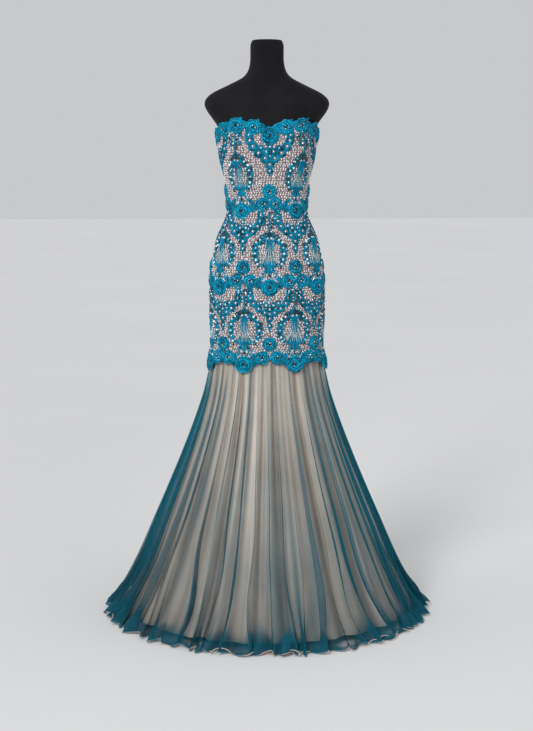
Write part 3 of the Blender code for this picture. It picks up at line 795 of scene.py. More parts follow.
def weave_group() -> bpy.types.NodeTree:
    """Crossed threads with uneven thickness.

    Returns:
        The group, whose outputs are a height and a mask of the hollows between the threads.
    """

    def build(nodes: Nodes, into: dict, out: dict) -> None:
        """Builds two wave patterns at right angles and a slow unevenness.

        Args:
            nodes: The group's nodes.
            into: Its input sockets.
            out: Its output sockets.
        """
        heights = []
        for direction in ("X", "Y"):
            scaled = nodes.new("ShaderNodeVectorMath", operation="SCALE")
            nodes.link(into["Vector"], scaled.inputs[0])
            nodes.link(into["Threads"], scaled.inputs["Scale"])
            wave = nodes.new(
                "ShaderNodeTexWave", bands_direction=direction, Scale=0.314, Distortion=1.2, Detail=1.0
            )
            nodes.link(scaled.outputs[0], wave.inputs["Vector"])
            heights.append(wave.outputs["Fac"])
        weave = nodes.math("MAXIMUM", *heights)
        noise = nodes.new("ShaderNodeTexNoise", Scale=14.0, Detail=3.0)
        nodes.link(into["Vector"], noise.inputs["Vector"])
        uneven = nodes.math("MULTIPLY", noise.outputs["Fac"], into["Unevenness"])
        nodes.link(nodes.math("ADD", weave, uneven), out["Height"])
        nodes.link(nodes.spread(weave, 0.35, 0.9, 1.0, 0.0), out["Hollow"])

    return group(
        "CrossedThreads", {"Threads": 400.0, "Unevenness": 0.5},
        {"Height": "NodeSocketFloat", "Hollow": "NodeSocketFloat"}, build,
    )


def cloud_group() -> bpy.types.NodeTree:
    """Slow uneven tone, as dye and handling leave it.

    Returns:
        The group, whose output is a mask.
    """

    def build(nodes: Nodes, into: dict, out: dict) -> None:
        """Builds two noises of different size.

        Args:
            nodes: The group's nodes.
            into: Its input sockets.
            out: Its output sockets.
        """
        small = nodes.new("ShaderNodeTexNoise", Detail=4.0, Roughness=0.6)
        large = nodes.new("ShaderNodeTexNoise", Detail=2.0)
        for noise, factor in ((small, 1.0), (large, 0.2)):
            nodes.link(into["Vector"], noise.inputs["Vector"])
            nodes.link(nodes.math("MULTIPLY", into["Size"], factor), noise.inputs["Scale"])
        both = nodes.math("ADD", small.outputs["Fac"], large.outputs["Fac"])
        nodes.link(nodes.spread(both, 0.75, 1.25, 0.0, 1.0), out["Cloud"])

    return group("UnevenTone", {"Size": 30.0}, {"Cloud": "NodeSocketFloat"}, build)


@dataclass(frozen=True)
class Finish:
    """A finish: its colours, how rough it is and what its surface shows."""

    name: str
    color: Color
    second: Color
    roughness: float
    metallic: float = 0.0
    sheen: float = 0.0
    coat: float = 0.0
    threads: float = 0.0
    bump: float = 0.0
    cloud: float = 25.0
    tone: bool = False
    density: bool = False
    by_pattern: bool = False
    anisotropic: float = 0.0
    specular: float = 0.5
    mottle: float = 0.3

    def build(self) -> bpy.types.Material:
        """Builds the material once.

        Returns:
            The material, whose patterns follow the object or the cloth.
        """
        found = bpy.data.materials.get(self.name)
        if found:
            return found
        material = bpy.data.materials.new(self.name)
        material.use_nodes = True
        nodes = Nodes(material.node_tree)
        shader = material.node_tree.nodes["Principled BSDF"]
        if self.by_pattern:
            place = nodes.new("ShaderNodeUVMap", uv_map="cloth").outputs["UV"]
        else:
            place = nodes.new("ShaderNodeTexCoord").outputs["Object"]
        clouds = nodes.new("ShaderNodeGroup", node_tree=cloud_group(), Size=self.cloud)
        nodes.link(place, clouds.inputs["Vector"])
        cloud = mask = clouds.outputs["Cloud"]
        if self.tone:
            tone = nodes.new("ShaderNodeAttribute", attribute_name="tone").outputs["Fac"]
            uneven = nodes.math("MULTIPLY", cloud, self.mottle)
            mask = nodes.math("ADD", uneven, nodes.math("MULTIPLY", tone, TONE_WEIGHT))
            mask = nodes.spread(mask, self.mottle / 6, 0.8 + self.mottle, 0.0, 1.0)
        nodes.link(nodes.mix(mask, self.color, self.second), shader.inputs["Base Color"])
        if self.threads:
            weave = nodes.new("ShaderNodeGroup", node_tree=weave_group(), Threads=self.threads)
            nodes.link(place, weave.inputs["Vector"])
            bump = nodes.new("ShaderNodeBump", Strength=self.bump, Distance=THREAD_RELIEF)
            nodes.link(weave.outputs["Height"], bump.inputs["Height"])
            nodes.link(bump.outputs["Normal"], shader.inputs["Normal"])
            rough = nodes.spread(weave.outputs["Hollow"], 0, 1, self.roughness, min(self.roughness + 0.2, 1))
        else:
            rough = nodes.spread(cloud, 0, 1, self.roughness * 0.85, min(self.roughness * 1.15, 1))
        nodes.link(rough, shader.inputs["Roughness"])
        if self.density:
            thin = nodes.new("ShaderNodeAttribute", attribute_name="veil").outputs["Fac"]
            varied = nodes.spread(cloud, 0, 1, 0.85, 1.15)
            nodes.link(nodes.math("MULTIPLY", thin, varied), shader.inputs["Alpha"])
        for name, value in (
            ("Metallic", self.metallic), ("Specular IOR Level", self.specular),
            ("Sheen Weight", self.sheen), ("Sheen Roughness", SHEEN_ROUGHNESS),
            ("Coat Weight", self.coat), ("Coat Roughness", COAT_ROUGHNESS),
            ("Anisotropic", self.anisotropic),
        ):
            shader.inputs[name].default_value = value
        return material


GROUND = Finish(
    "blush_ground_net", (0.175, 0.130, 0.126), (0.275, 0.215, 0.206), 0.8,
    threads=900, bump=0.5, by_pattern=True,
)
# The beads' tone mixes these colours; each bead's painted shade at its foot takes the darker one, and its
# painted highlight on top the lighter.
PEARL = Finish("pearly_beads", (0.27, 0.20, 0.195), (0.73, 0.705, 0.73), 0.22, coat=0.6, cloud=160, tone=True)
# The darker colour shows where a motif's tone is low, as painted shade in the creases of the rosettes,
# eyelets and leaves.
CORD_LACE = Finish(
    "turquoise_corded_lace", (0.0002, 0.016, 0.033), (0.001, 0.425, 0.680), 0.55,
    threads=1500, bump=0.7, cloud=300, tone=True, specular=0.10, mottle=0.62,
)
SILVER_CORD = Finish(
    "silvery_turquoise_threads", (0.04, 0.24, 0.31), (0.70, 0.78, 0.80), 0.32,
    metallic=0.1, cloud=200, tone=True,
)
DARK_STONE = Finish(
    "dark_green_stones", (0.0010, 0.006, 0.006), (0.004, 0.030, 0.026), 0.07, coat=0.5, cloud=300,
)
CLEAR_STONE = Finish(
    "clear_stones", (0.72, 0.84, 0.84), (0.97, 0.99, 0.98), 0.12,
    metallic=0.25, coat=1.0, cloud=300, specular=1.0,
)
# The tone mixes in the darker colour as painted shade in the fold hollows, and the lighter one as painted
# highlight on the streaks.
SATIN = Finish(
    "champagne_satin_cloth", (0.20, 0.120, 0.068), (0.70, 0.625, 0.540), 0.30,
    threads=2200, bump=0.08, cloud=6, tone=True, anisotropic=0.5,
)
# The tone mixes in the darker colour as painted shade deep in the folds, and more of it towards the hem.
TULLE = Finish(
    "turquoise_tulle_net", (0.0003, 0.035, 0.058), (0.001, 0.145, 0.205), 0.7,
    cloud=10, tone=True, density=True, specular=0.15,
)
HEM_CORD = Finish("rolled_hem_thread", (0.001, 0.17, 0.28), (0.62, 0.49, 0.40), 0.5, cloud=60, tone=True)
JERSEY = Finish(
    "black_jersey", (0.004, 0.004, 0.005), (0.009, 0.009, 0.011), 0.9,
    sheen=0.03, threads=1300, bump=0.35, cloud=18, specular=0.2,
)
STAND_PAINT = Finish("black_stand_paint", (0.018, 0.018, 0.02), (0.03, 0.03, 0.033), 0.35, coat=0.2, cloud=40)
ZIP_METAL = Finish("zip_metal_satin", (0.46, 0.40, 0.35), (0.66, 0.60, 0.54), 0.3, metallic=1.0, cloud=300)
ZIP_TAPE = Finish("zip_tape_cloth", (0.33, 0.215, 0.185), (0.44, 0.30, 0.26), 0.75, threads=1500, bump=0.4)
FLOOR = Finish("pale_floor", (0.80, 0.80, 0.80), (0.83, 0.83, 0.83), 0.95, cloud=0.8, specular=0.2)


# Sub-assemblies


@dataclass
class DressForm:
    """The limbless form: its jersey cover over the torso."""

    columns: int = 96
    foot: float = 0.742
    neck_from: float = 1.30
    top: float = 1.582
    body_step: float = 0.03
    neck_step: float = 0.006
    rim: float = 0.0015
    inset: float = 0.0002
    seams: tuple[float, ...] = (0.0, 0.5, -0.5, 0.16, -0.16, 0.34, -0.34)
    seam_width: float = 0.0035
    seam_depth: float = 0.0007
    crown: tuple[tuple[float, float], ...] = ((0.93, 0.0012), (0.75, 0.0015))

    def build(self) -> bpy.types.Object:
        """Builds the cover from foot to neck, closed at both ends.

        Returns:
            The cover.
        """
        body = np.arange(self.foot, self.neck_from, self.body_step)
        neck = np.arange(self.neck_from, self.top - 2 * self.rim, self.neck_step)
        heights = np.concatenate([body, neck, [self.top - self.rim]])
        q = np.linspace(-0.5, 0.5, self.columns, endpoint=False)
        from_seam = np.abs(q[:, None] - np.array(self.seams)[None]).min(axis=1)
        groove = np.exp(-((from_seam / self.seam_width) ** 2)) * self.seam_depth
        rows = [FIGURE_SURFACE.place(q, np.full_like(q, z), -self.inset - groove) for z in heights]
        rows[0][:, 2] = self.foot
        rim = rows[-1].copy()
        for shrink, rise in self.crown:
            ring = rim * [shrink, shrink, 1]
            ring[:, 2] = self.top - self.rim + rise
            rows.append(ring)
        points = np.concatenate([*rows, [[0, 0, self.top]], [[0, 0, self.foot]]])
        faces = halved(grid_faces(len(rows), self.columns, closed=True)[:, ::-1])
        last = (len(rows) - 1) * self.columns
        n = np.arange(self.columns)
        m = (n + 1) % self.columns
        cap = np.stack([last + n, last + m, np.full_like(n, len(points) - 2)], -1)
        foot = np.stack([m, n, np.full_like(n, len(points) - 1)], -1)
        cover = object_from_arrays("form_cover", points, np.concatenate([faces, cap, foot]), JERSEY.build())
        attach(cover, BODY)
        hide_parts("form_torso")
        return cover


@dataclass
class Sheath:
    """The blush ground in five panels, and the beads sewn all over it."""

    rows: int = 64
    column_degrees: float = 2.5
    least_columns: int = 12
    wall: float = 0.0012
    pattern_girth: float = 0.86
    seam_gap: float = 0.00015
    zip_half: float = 0.0026
    panels: tuple[tuple[str, float, float], ...] = (
        ("sheath_front", -33.75, 33.75),
        ("sheath_side_left", 33.75, 90.0), ("sheath_side_right", -90.0, -33.75),
        ("sheath_back_left", 90.0, 180.0), ("sheath_back_right", -180.0, -90.0),
    )
    bead_pitch: float = 0.0071
    bead_row: float = 0.0061
    bead_length: float = 0.0069
    bead_width: float = 0.0049
    bead_height: float = 0.0032
    bead_stands: float = 0.32
    bead_turn: float = 0.6
    eyelet_bead: float = 1.18
    beads_from: float = 0.7205
    beads_to: float = 1.355
    below_neck: float = 0.004
    bead_from_zip: float = 0.0065
    eye_from_zip: float = 0.0085
    under_zip: float = 0.006

    def edge(self, degrees: float, inwards: int, z: float) -> float:
        """Finds a panel's edge, with half its seam's gap taken off.

        Args:
            degrees: The edge's angle from the centre front.
            inwards: The way into the panel, 1 or -1.
            z: The height.

        Returns:
            The edge, as a part of the girth.
        """
        girth = FIGURE_SURFACE.girth(np.array([z]))[0]
        at_zip = abs(degrees) == 180.0 and z > ZIP_FOOT
        gap = self.zip_half if at_zip else self.seam_gap
        return FIGURE_SURFACE.part_at(math.radians(degrees), z) + inwards * gap / girth

    def panel(self, node: str, first: float, last: float) -> bpy.types.Object:
        """Builds one panel, as a thin shell with its wall inwards.

        Args:
            node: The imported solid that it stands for.
            first: The angle of its first edge, in degrees.
            last: The angle of its last edge.

        Returns:
            The panel.
        """
        columns = max(self.least_columns, round(abs(last - first) / self.column_degrees))
        share = np.linspace(0, 1, columns)
        grid, uv = [], []
        for down in np.linspace(0, 1, self.rows):
            angle = np.radians(first + (last - first) * share)
            z = neckline(angle) * (1 - down) + SHEATH_HEM * down
            middle = float(z.mean())
            q = self.edge(first, 1, middle) * (1 - share) + self.edge(last, -1, middle) * share
            grid.append(FIGURE_SURFACE.place(q, z, ground_out(z)))
            uv.append(np.stack([q * self.pattern_girth, z], -1))
        points = np.concatenate(grid)
        piece = object_from_arrays(
            f"{node}_cloth", points, grid_faces(self.rows, columns), GROUND.build(), uv=np.concatenate(uv)
        )
        bpy.ops.object.select_all(action="DESELECT")
        piece.select_set(True)
        bpy.context.view_layer.objects.active = piece
        wall = piece.modifiers.new("Wall", "SOLIDIFY")
        wall.thickness = self.wall
        wall.offset = -1
        bpy.ops.object.modifier_apply(modifier=wall.name)
        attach(piece, BODY)
        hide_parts(node)
        face = np.stack(grid)
        widths = np.linalg.norm(np.diff(face, axis=1), axis=-1).sum(axis=1)
        share = float(widths.mean() / widths.max())
        return piece

    def bead(self) -> Patch:
        """Models one oval bead, lying along x.

        Returns:
            The bead.
        """
        along_x = (0, math.pi / 2, 0)
        bpy.ops.mesh.primitive_uv_sphere_add(segments=6, ring_count=3, radius=0.5, rotation=along_x)
        return patch_from_active().sized((self.bead_length, self.bead_width, self.bead_height))

    def bead_rows(self, rng: np.random.Generator) -> tuple[np.ndarray, np.ndarray]:
        """Sets out rows of beads all round, each row a little further along, so that runs slant.

        Args:
            rng: The source of small unevenness.

        Returns:
            The beads' parts of the girth, and their heights.
        """
        slant = 0.0
        q_all, z_all = [], []
        for n, z in enumerate(np.arange(self.beads_from, self.beads_to, self.bead_row)):
            girth = FIGURE_SURFACE.girth(np.array([z]))[0]
            count = round(girth / self.bead_pitch)
            slant += (0.5 if n % 2 else 0.28) * (1 if n // 5 % 2 else -1) + rng.normal(0, 0.05)
            q_all.append((np.arange(count) + slant % 1) / count - 0.5)
            z_all.append(np.full(count, z))
        q, z = np.concatenate(q_all), np.concatenate(z_all)
        q = wrapped(q + rng.normal(0, 0.0010, len(q)) / USUAL_GIRTH)
        return q, z + rng.normal(0, 0.0009, len(z))

    def beads(
        self, covered: Callable[[np.ndarray, np.ndarray], np.ndarray], eyes: list[tuple[float, float]]
    ) -> list[bpy.types.Object]:
        """Sews beads in slanting runs wherever the lace leaves the ground bare, and one in each eyelet.

        Args:
            covered: Says for parts of the girth and heights whether lace lies there.
            eyes: The middles of the eyelets, as parts of the girth and heights.

        Returns:
            The beads of the front and of the back.
        """
        rng = np.random.default_rng(7)
        q, z = self.bead_rows(rng)
        below_zip = ZIP_FOOT - self.under_zip
        top = neckline(FIGURE_SURFACE.angle_at(wrapped(q), 1.2)) - self.below_neck
        clear_of_zip = (from_back(q, FIGURE_SURFACE.girth(z)) > self.bead_from_zip) | (z < below_zip)
        keep = (z < top) & ~covered(q, z) & clear_of_zip
        in_eyes = np.array(eyes)
        clear_of_zip = from_back(in_eyes[:, 0], USUAL_GIRTH) > self.eye_from_zip
        in_eyes = in_eyes[clear_of_zip | (in_eyes[:, 1] < below_zip)]
        q, z = np.concatenate([q[keep], in_eyes[:, 0]]), np.concatenate([z[keep], in_eyes[:, 1]])
        angle = np.where(rng.random(len(q)) < 0.5, self.bead_turn, -self.bead_turn)
        angle = angle + rng.normal(0, 0.25, len(q)) + math.pi / 2
        size = rng.uniform(0.88, 1.08, len(q))
        tone = np.clip(rng.normal(0.66, 0.26, len(q)), 0.05, 1)
        tone[len(q) - len(in_eyes):] = 1.0
        size[len(q) - len(in_eyes):] *= self.eyelet_bead
        return self.sewn(q, z, angle, size, tone)

    def sewn(
        self, q: np.ndarray, z: np.ndarray, angle: np.ndarray, size: np.ndarray, tone: np.ndarray
    ) -> list[bpy.types.Object]:
        """Lays a bead on the ground at each place, turned in its plane.

        Args:
            q: The beads' parts of the girth.
            z: Their heights.
            angle: Their turns, in radians.
            size: Their sizes against the bead's own.
            tone: Their tones, to which painted light is added: lighter on each bead's top, darker at its
                foot.

        Returns:
            The beads of the front and of the back.
        """
        normal = FIGURE_SURFACE.normal(q, z)
        base = FIGURE_SURFACE.place(q, z, ground_out(z) + self.bead_height * self.bead_stands)
        right = unit(np.cross([0.0, 0.0, 1.0], normal))
        up = np.cross(normal, right)
        c, s = np.cos(angle)[:, None], np.sin(angle)[:, None]
        first, second = right * c + up * s, up * c - right * s
        bead = self.bead()
        along, across, high = (bead.points[None, :, n:n + 1] for n in range(3))
        turned = first[:, None] * along + second[:, None] * across + normal[:, None] * high
        points = base[:, None] + size[:, None, None] * turned
        # Painted highlight and shade: each bead is lighter on top and darker at its foot.
        shade = tone[:, None] + 0.34 * (bead.points[None, :, 2] / (self.bead_height * 0.5))
        trim = Trim("ground_beads", PEARL.build(), "blush_ground")
        for side, chosen in ((Side.FRONT, base[:, 1] < HALVES_MEET), (Side.BACK, base[:, 1] >= HALVES_MEET)):
            starts = np.arange(int(chosen.sum())) * len(bead.points)
            triangles = (bead.triangles[None] + starts[:, None, None]).reshape(-1, 3)
            shades = np.clip(shade[chosen].ravel(), 0, 1)
            trim.parts[side].append((points[chosen].reshape(-1, 3), triangles, shades))
        return trim.finish()

    def build(self) -> list[bpy.types.Object]:
        """Builds the five panels."""
        return [self.panel(*panel) for panel in self.panels]


@dataclass(frozen=True)
class Spot:
    """A place in half a repeat: across from its axis, down from the band above, and a size."""

    across: float
    down: float
    size: float = 1.0
    turn: float = 0.0

    @property
    def sides(self) -> tuple[int, ...]:
        """Both sides of its axis, or one where it lies on the axis."""
        return (-1, 1) if self.across else (1,)


@dataclass(frozen=True)
class Spray:
    """Cords that spread from a fan's root: how they open, how far down they reach, and their look."""

    spreads: tuple[float, ...]
    root: float
    opening: float
    closing: float
    narrowing: float
    top: float
    length: float
    bow: float
    radius: float
    lift: float
    tones: tuple[float, float]


@dataclass
class CordedLace:
    """The turquoise lace: coiled rosettes, eyelet swags, arches of leaves, fans and stones."""

    rosette_radius: float = 0.020
    rosette_rings: int = 22
    rosette_sides: int = 40
    rosette_rounds: float = 3.4
    rosette_kinds: int = 5
    rosette_sequins: int = 8
    eyelet_radius: float = 0.0104
    eyelet_hole: float = 0.0039
    neck_scallops: int = 17
    oval_half_width: float = 0.0155
    oval_arcs: int = 6
    swag: tuple[Spot, ...] = (
        Spot(0.76, 0.055, 0.82), Spot(0.765, 0.125, 0.9), Spot(0.735, 0.198), Spot(0.63, 0.265, 1.05),
        Spot(0.43, 0.333, 1.08), Spot(0.19, 0.385, 1.05), Spot(0.14, 0.290, 0.78), Spot(0.34, 0.262, 0.70),
    )
    swag_axis: tuple[Spot, ...] = (
        Spot(0.0, 0.462, 1.05), Spot(0.0, 0.343, 0.85), Spot(0.0, 0.215, 0.6), Spot(0.0, 0.555, 0.78),
    )
    arch: tuple[Spot, ...] = (
        Spot(0.22, 0.445, 1.0, -40), Spot(0.34, 0.458, 1.1, -20), Spot(0.44, 0.490, 1.1, -60),
        Spot(0.545, 0.515, 1.25, -30), Spot(0.60, 0.553, 1.25, -75), Spot(0.50, 0.560, 1.0, -100),
        Spot(0.64, 0.598, 1.2, -60), Spot(0.545, 0.610, 1.1, -110), Spot(0.635, 0.645, 1.2, -95),
        Spot(0.555, 0.660, 1.0, -135), Spot(0.60, 0.695, 1.2, -105), Spot(0.52, 0.728, 1.1, -130),
        Spot(0.44, 0.768, 0.9, -125), Spot(0.46, 0.700, 0.7, -150),
    )
    garland: tuple[Spot, ...] = (
        Spot(0.12, 0.405), Spot(0.26, 0.430), Spot(0.42, 0.468), Spot(0.54, 0.520), Spot(0.60, 0.580),
        Spot(0.60, 0.650), Spot(0.55, 0.710), Spot(0.44, 0.765), Spot(0.34, 0.800),
    )
    crown: tuple[Spot, ...] = (Spot(0.0, 0.378, 1.15), Spot(0.15, 0.385, 1.0), Spot(0.30, 0.412, 0.95))
    fan_tips: tuple[Spot, ...] = (
        Spot(0.0, 0.790, 1.25, 180), Spot(0.13, 0.785, 1.2, 170), Spot(0.26, 0.772, 1.1, 155),
        Spot(0.0, 0.855, 1.3, 180), Spot(0.17, 0.850, 1.2, 205), Spot(0.08, 0.740, 0.9, 176),
        Spot(0.20, 0.735, 0.8, 166),
    )
    dark_stones: tuple[Spot, ...] = (
        Spot(0.0, 0.386, 1.6), Spot(0.16, 0.398, 1.1), Spot(0.30, 0.425, 1.25), Spot(0.46, 0.455, 1.2),
        Spot(0.66, 0.520, 1.5), Spot(0.25, 0.480, 1.1), Spot(0.57, 0.585, 1.1), Spot(0.62, 0.660, 1.35),
        Spot(0.0, 0.918, 1.35), Spot(0.46, 0.800, 1.0), Spot(0.10, 0.240, 0.8),
    )
    clear_stones: tuple[Spot, ...] = (
        Spot(0.08, 0.425, 0.9), Spot(0.38, 0.440, 1.0), Spot(0.53, 0.475, 1.1), Spot(0.56, 0.545, 1.0),
        Spot(0.60, 0.620, 1.1), Spot(0.56, 0.700, 1.1), Spot(0.40, 0.520, 0.8), Spot(0.50, 0.755, 1.0),
        Spot(0.38, 0.660, 0.6), Spot(0.32, 0.590, 0.6), Spot(0.12, 0.900, 0.8), Spot(0.24, 0.965, 0.8),
        Spot(0.36, 0.900, 0.7), Spot(0.0, 0.965, 0.8),
    )
    links: tuple[Spot, ...] = (
        Spot(0.40, 0.975, 1.5, 10), Spot(0.50, 1.015, 1.7, -25), Spot(0.36, 1.040, 1.4, 35),
        Spot(0.30, 0.935, 1.1, 60), Spot(0.62, 0.985, 1.3, 0),
    )
    silver_spray: Spray = Spray(
        tuple(np.linspace(-1, 1, 9)), root=0.08, opening=0.42, closing=1, narrowing=1,
        top=0.500, length=0.290, bow=0.06, radius=0.0010, lift=0.0020, tones=(0.25, 0.80),
    )
    stem_spray: Spray = Spray(
        (-1.0, -0.5, 0.0, 0.5, 1.0), root=0.095, opening=0.06, closing=0, narrowing=0.5,
        top=0.425, length=0.23, bow=0.06, radius=0.0017, lift=0.0026, tones=(0.80, 0.35),
    )
    foot_spray: Spray = Spray(
        (-0.8, -0.4, 0.4, 0.8), root=0.13, opening=0.24, closing=0, narrowing=1,
        top=0.66, length=0.13, bow=0.03, radius=0.0011, lift=0.0017, tones=(0.50, 0.50),
    )

    def __post_init__(self) -> None:
        """Starts the trims."""
        cord = CORD_LACE.build()
        self.rosettes = Trim("lace_rosettes", cord, "turquoise_lace")
        self.swags = Trim("lace_swags", cord, "turquoise_lace")
        self.leaves = Trim("lace_leaves", cord, "turquoise_lace")
        self.threads = Trim("lace_threads", SILVER_CORD.build(), "turquoise_lace")
        self.cords = Trim("lace_cords", cord, "turquoise_lace")
        self.dark = Trim("stones_dark", DARK_STONE.build(), "zip_metal", Shade.FLAT)
        self.clear = Trim("stones_clear", CLEAR_STONE.build(), "zip_metal", Shade.FLAT)
        self.rng = np.random.default_rng(11)
        self.covers: list[tuple[float, float, float]] = []
        self.eyes: list[tuple[float, float]] = []

    def rosette(self, kind: int) -> Patch:
        """Models one rosette: rings drawn in from its rim, then raised into rounds of lapped petals.

        Args:
            kind: Which of the slightly different rosettes to make.

        Returns:
            The rosette.
        """
        bpy.ops.mesh.primitive_circle_add(vertices=self.rosette_sides, radius=self.rosette_radius)
        bpy.ops.object.mode_set(mode="EDIT")
        bpy.ops.mesh.select_all(action="SELECT")
        radii = np.linspace(1.0, 0.06, self.rosette_rings)
        for before, after in zip(radii, radii[1:]):
            bpy.ops.mesh.extrude_edges_move()
            bpy.ops.transform.resize(value=(after / before,) * 3)
        bpy.ops.mesh.edge_face_add()
        bpy.ops.object.mode_set(mode="OBJECT")
        patch = patch_from_active()

        rho = np.hypot(patch.points[:, 0], patch.points[:, 1]) / self.rosette_radius
        theta = np.arctan2(patch.points[:, 1], patch.points[:, 0])
        petals = 7 + kind
        lip, dip = np.zeros(len(rho)), np.zeros(len(rho))
        for n in range(int(self.rosette_rounds) + 1):
            bent = theta + 0.35 * np.sin(theta + 2.1 * kind + n) + 0.2 * np.sin(2 * theta + kind)
            notch = np.abs(np.sin((3 + n + kind % 2) * bent / 2 + 1.3 * n + kind)) ** 0.5
            edge = (n + 0.66 * notch - 0.14 + 0.16 * np.sin(theta + 1.7 * kind + 2 * n)) / self.rosette_rounds
            across = (rho - edge) * self.rosette_rounds / (1.0 if n else 1.2)
            inside = (across > 0) & (across < 1.5)
            lip[inside] = eased(across[inside], 0.0, 0.75)
            dip[inside] = 1 - notch[inside]
        lobes = 1 + (0.055 * np.cos(petals * theta + 9) + 0.03 * np.cos(3 * theta + kind)) * rho**3
        eye = np.exp(-((rho / 0.17) ** 2))
        height = 0.0010 + 0.0040 * (1 - rho**1.6) - 0.0036 * eye
        height = height + 0.0026 * lip * (1 - 0.4 * dip) * (rho > 0.1)
        height[rho > 0.985] = -0.0006
        points = patch.points * lobes[:, None]
        points[:, 2] = height
        # Painted shade and highlight: the tone is light on each petal's raised lip, dark in the creases
        # between rounds and between petals, and dark in the sunk eye; the lumps vary it at random.
        lumps = np.sin(11 * theta + 5 * rho + kind) * np.sin(17 * rho + 3 * theta)
        tone = 0.98 * lip**1.7 * (1 - 0.80 * dip) + 0.24 * lumps - 0.70 * eye
        return Patch(points, patch.triangles, np.clip(tone, 0, 1))

    def eyelet(self) -> Patch:
        """Models one eyelet: a flat ring of coiled cord.

        Returns:
            The eyelet.
        """
        middle = (self.eyelet_radius + self.eyelet_hole) / 2
        width = (self.eyelet_radius - self.eyelet_hole) / 2
        bpy.ops.mesh.primitive_torus_add(
            major_segments=16, minor_segments=6, major_radius=middle, minor_radius=width
        )
        patch = patch_from_active()
        rho = np.hypot(patch.points[:, 0], patch.points[:, 1])
        groove = np.cos((rho - self.eyelet_hole) / (self.eyelet_radius - self.eyelet_hole) * 2 * math.pi * 2)
        raised = np.where(patch.points[:, 2] > 0, 0.0004 * groove, 0)
        patch.points[:, 2] = patch.points[:, 2] / width * 0.0017 + 0.0010 + raised
        # Painted shade and highlight: the tone is lighter on the coil's raised ridges and darker in the
        # grooves between them; the last term varies it round the ring.
        tone = 0.57 + 0.40 * groove + 0.16 * np.sin(3 * np.arctan2(patch.points[:, 1], patch.points[:, 0]))
        return Patch(patch.points, patch.triangles, np.clip(tone, 0, 1))

    def leaf(self) -> Patch:
        """Models one padded leaf with a sunk vein, pointing up.

        Returns:
            The leaf.
        """
        along_y = (math.pi / 2, 0, 0)
        bpy.ops.mesh.primitive_uv_sphere_add(segments=8, ring_count=6, radius=1.0, rotation=along_y)
        patch = patch_from_active()
        x, y, z = patch.points.T
        point = 1 - 0.35 * np.clip(y, 0, 1) ** 2
        vein = np.exp(-((x / 0.22) ** 2))
        high = 0.0008 + z * 0.0019 - np.where(z > 0, 0.0006 * vein, 0)
        points = np.stack([x * 0.0040 * point, y * 0.0080, high], -1)
        # Painted shade: the tone is darker along the sunk vein; it also grows a little lighter towards the
        # tip.
        return Patch(points, patch.triangles, np.clip(0.72 - 0.70 * vein + 0.1 * y, 0, 1))

    def stone(self) -> Patch:
        """Models one cut stone: eight facets round a flat table.

        Returns:
            The stone.
        """
        bpy.ops.mesh.primitive_cone_add(
            vertices=8, radius1=0.0030, radius2=0.0016, depth=0.0018, location=(0, 0, 0.0009)
        )
        return patch_from_active()

    def cover(self, q: float, z: float, radius: float) -> None:
        """Remembers that lace hides the ground here."""
        self.covers.append((q, z, radius))

    def covered(self, q: np.ndarray, z: np.ndarray) -> np.ndarray:
        """Finds the places where lace hides the ground.

        Args:
            q: Parts of the girth.
            z: Heights.

        Returns:
            Whether it does, for each place.
        """
        found = np.zeros(len(q), bool)
        girth = FIGURE_SURFACE.girth(z)
        for q0, z0, radius in self.covers:
            found |= np.hypot(wrapped(q - q0) * girth, z - z0) < radius
        return found

    def stud(
        self, trim: Trim, q: float, z: float, near: float, way: float, size: float, lift: float,
        shift: float = 0.0,
    ) -> None:
        """Sews a stone or sequin beside a motif's middle.

        Args:
            trim: The trim that it belongs to.
            q: The middle's part of the girth.
            z: The middle's height.
            near: How far from the middle it is.
            way: In which direction, in radians.
            size: Its size against the stone's own.
            lift: Its height off the cloth.
            shift: Its change of tone.
        """
        girth = FIGURE_SURFACE.girth(np.array([z]))[0]
        place = (q + near * math.cos(way) / girth, z + near * math.sin(way))
        trim.stamp(self._stone, *place, way, size, lift, shift)

    def add_rosette(self, q: float, z: float, scale: float) -> None:
        """Sews on a rosette with a stone in its eye, sparks round it and sequins on its petals.

        Args:
            q: Its part of the girth.
            z: Its height.
            scale: Its size against the rosette's own.
        """
        turn = self.rng.uniform(0, 2 * math.pi)
        patch = self._rosettes[int(self.rng.integers(self.rosette_kinds))]
        lift, shift = self.rng.uniform(0, 0.001), self.rng.uniform(-0.10, 0.08)
        if not self.rosettes.stamp(patch, q, z, turn, scale, lift, shift):
            return
        self.cover(q, z, self.rosette_radius * scale - 0.001)
        self.dark.stamp(self._stone, q, z, turn, 1.45, 0.0030)
        for n in range(3):
            self.stud(self.clear, q, z, 0.0048 * scale, turn + n * 2.1, 0.45 if n else 0.65, 0.0052)
        for n in range(self.rosette_sequins):
            way = turn + n * 2.4 + self.rng.uniform(-0.3, 0.3)
            share = self.rng.uniform(0.42, 0.88)
            lift = 0.0030 + 0.0036 * (1 - share**2)
            size, shift = self.rng.uniform(0.30, 0.48), self.rng.uniform(-0.45, 0.20)
            self.stud(self.threads, q, z, share * self.rosette_radius * scale, way, size, lift, shift)

    def repeat(self, row: LaceRow) -> None:
        """Sews one row's fans and swags all round.

        Args:
            row: The row.
        """
        for q in row.axes(0.0):
            self.fan(row, q)
        for q in row.axes(0.5):
            self.swag_at(row, q)

    def at(self, row: LaceRow, axis: float, side: int, spot: Spot) -> tuple[float, float]:
        """A spot's part of the girth and height, on one side of an axis."""
        q, z = self.line(row, axis, np.array([side * spot.across]), np.array([spot.down]))
        return float(q[0]), float(z[0])

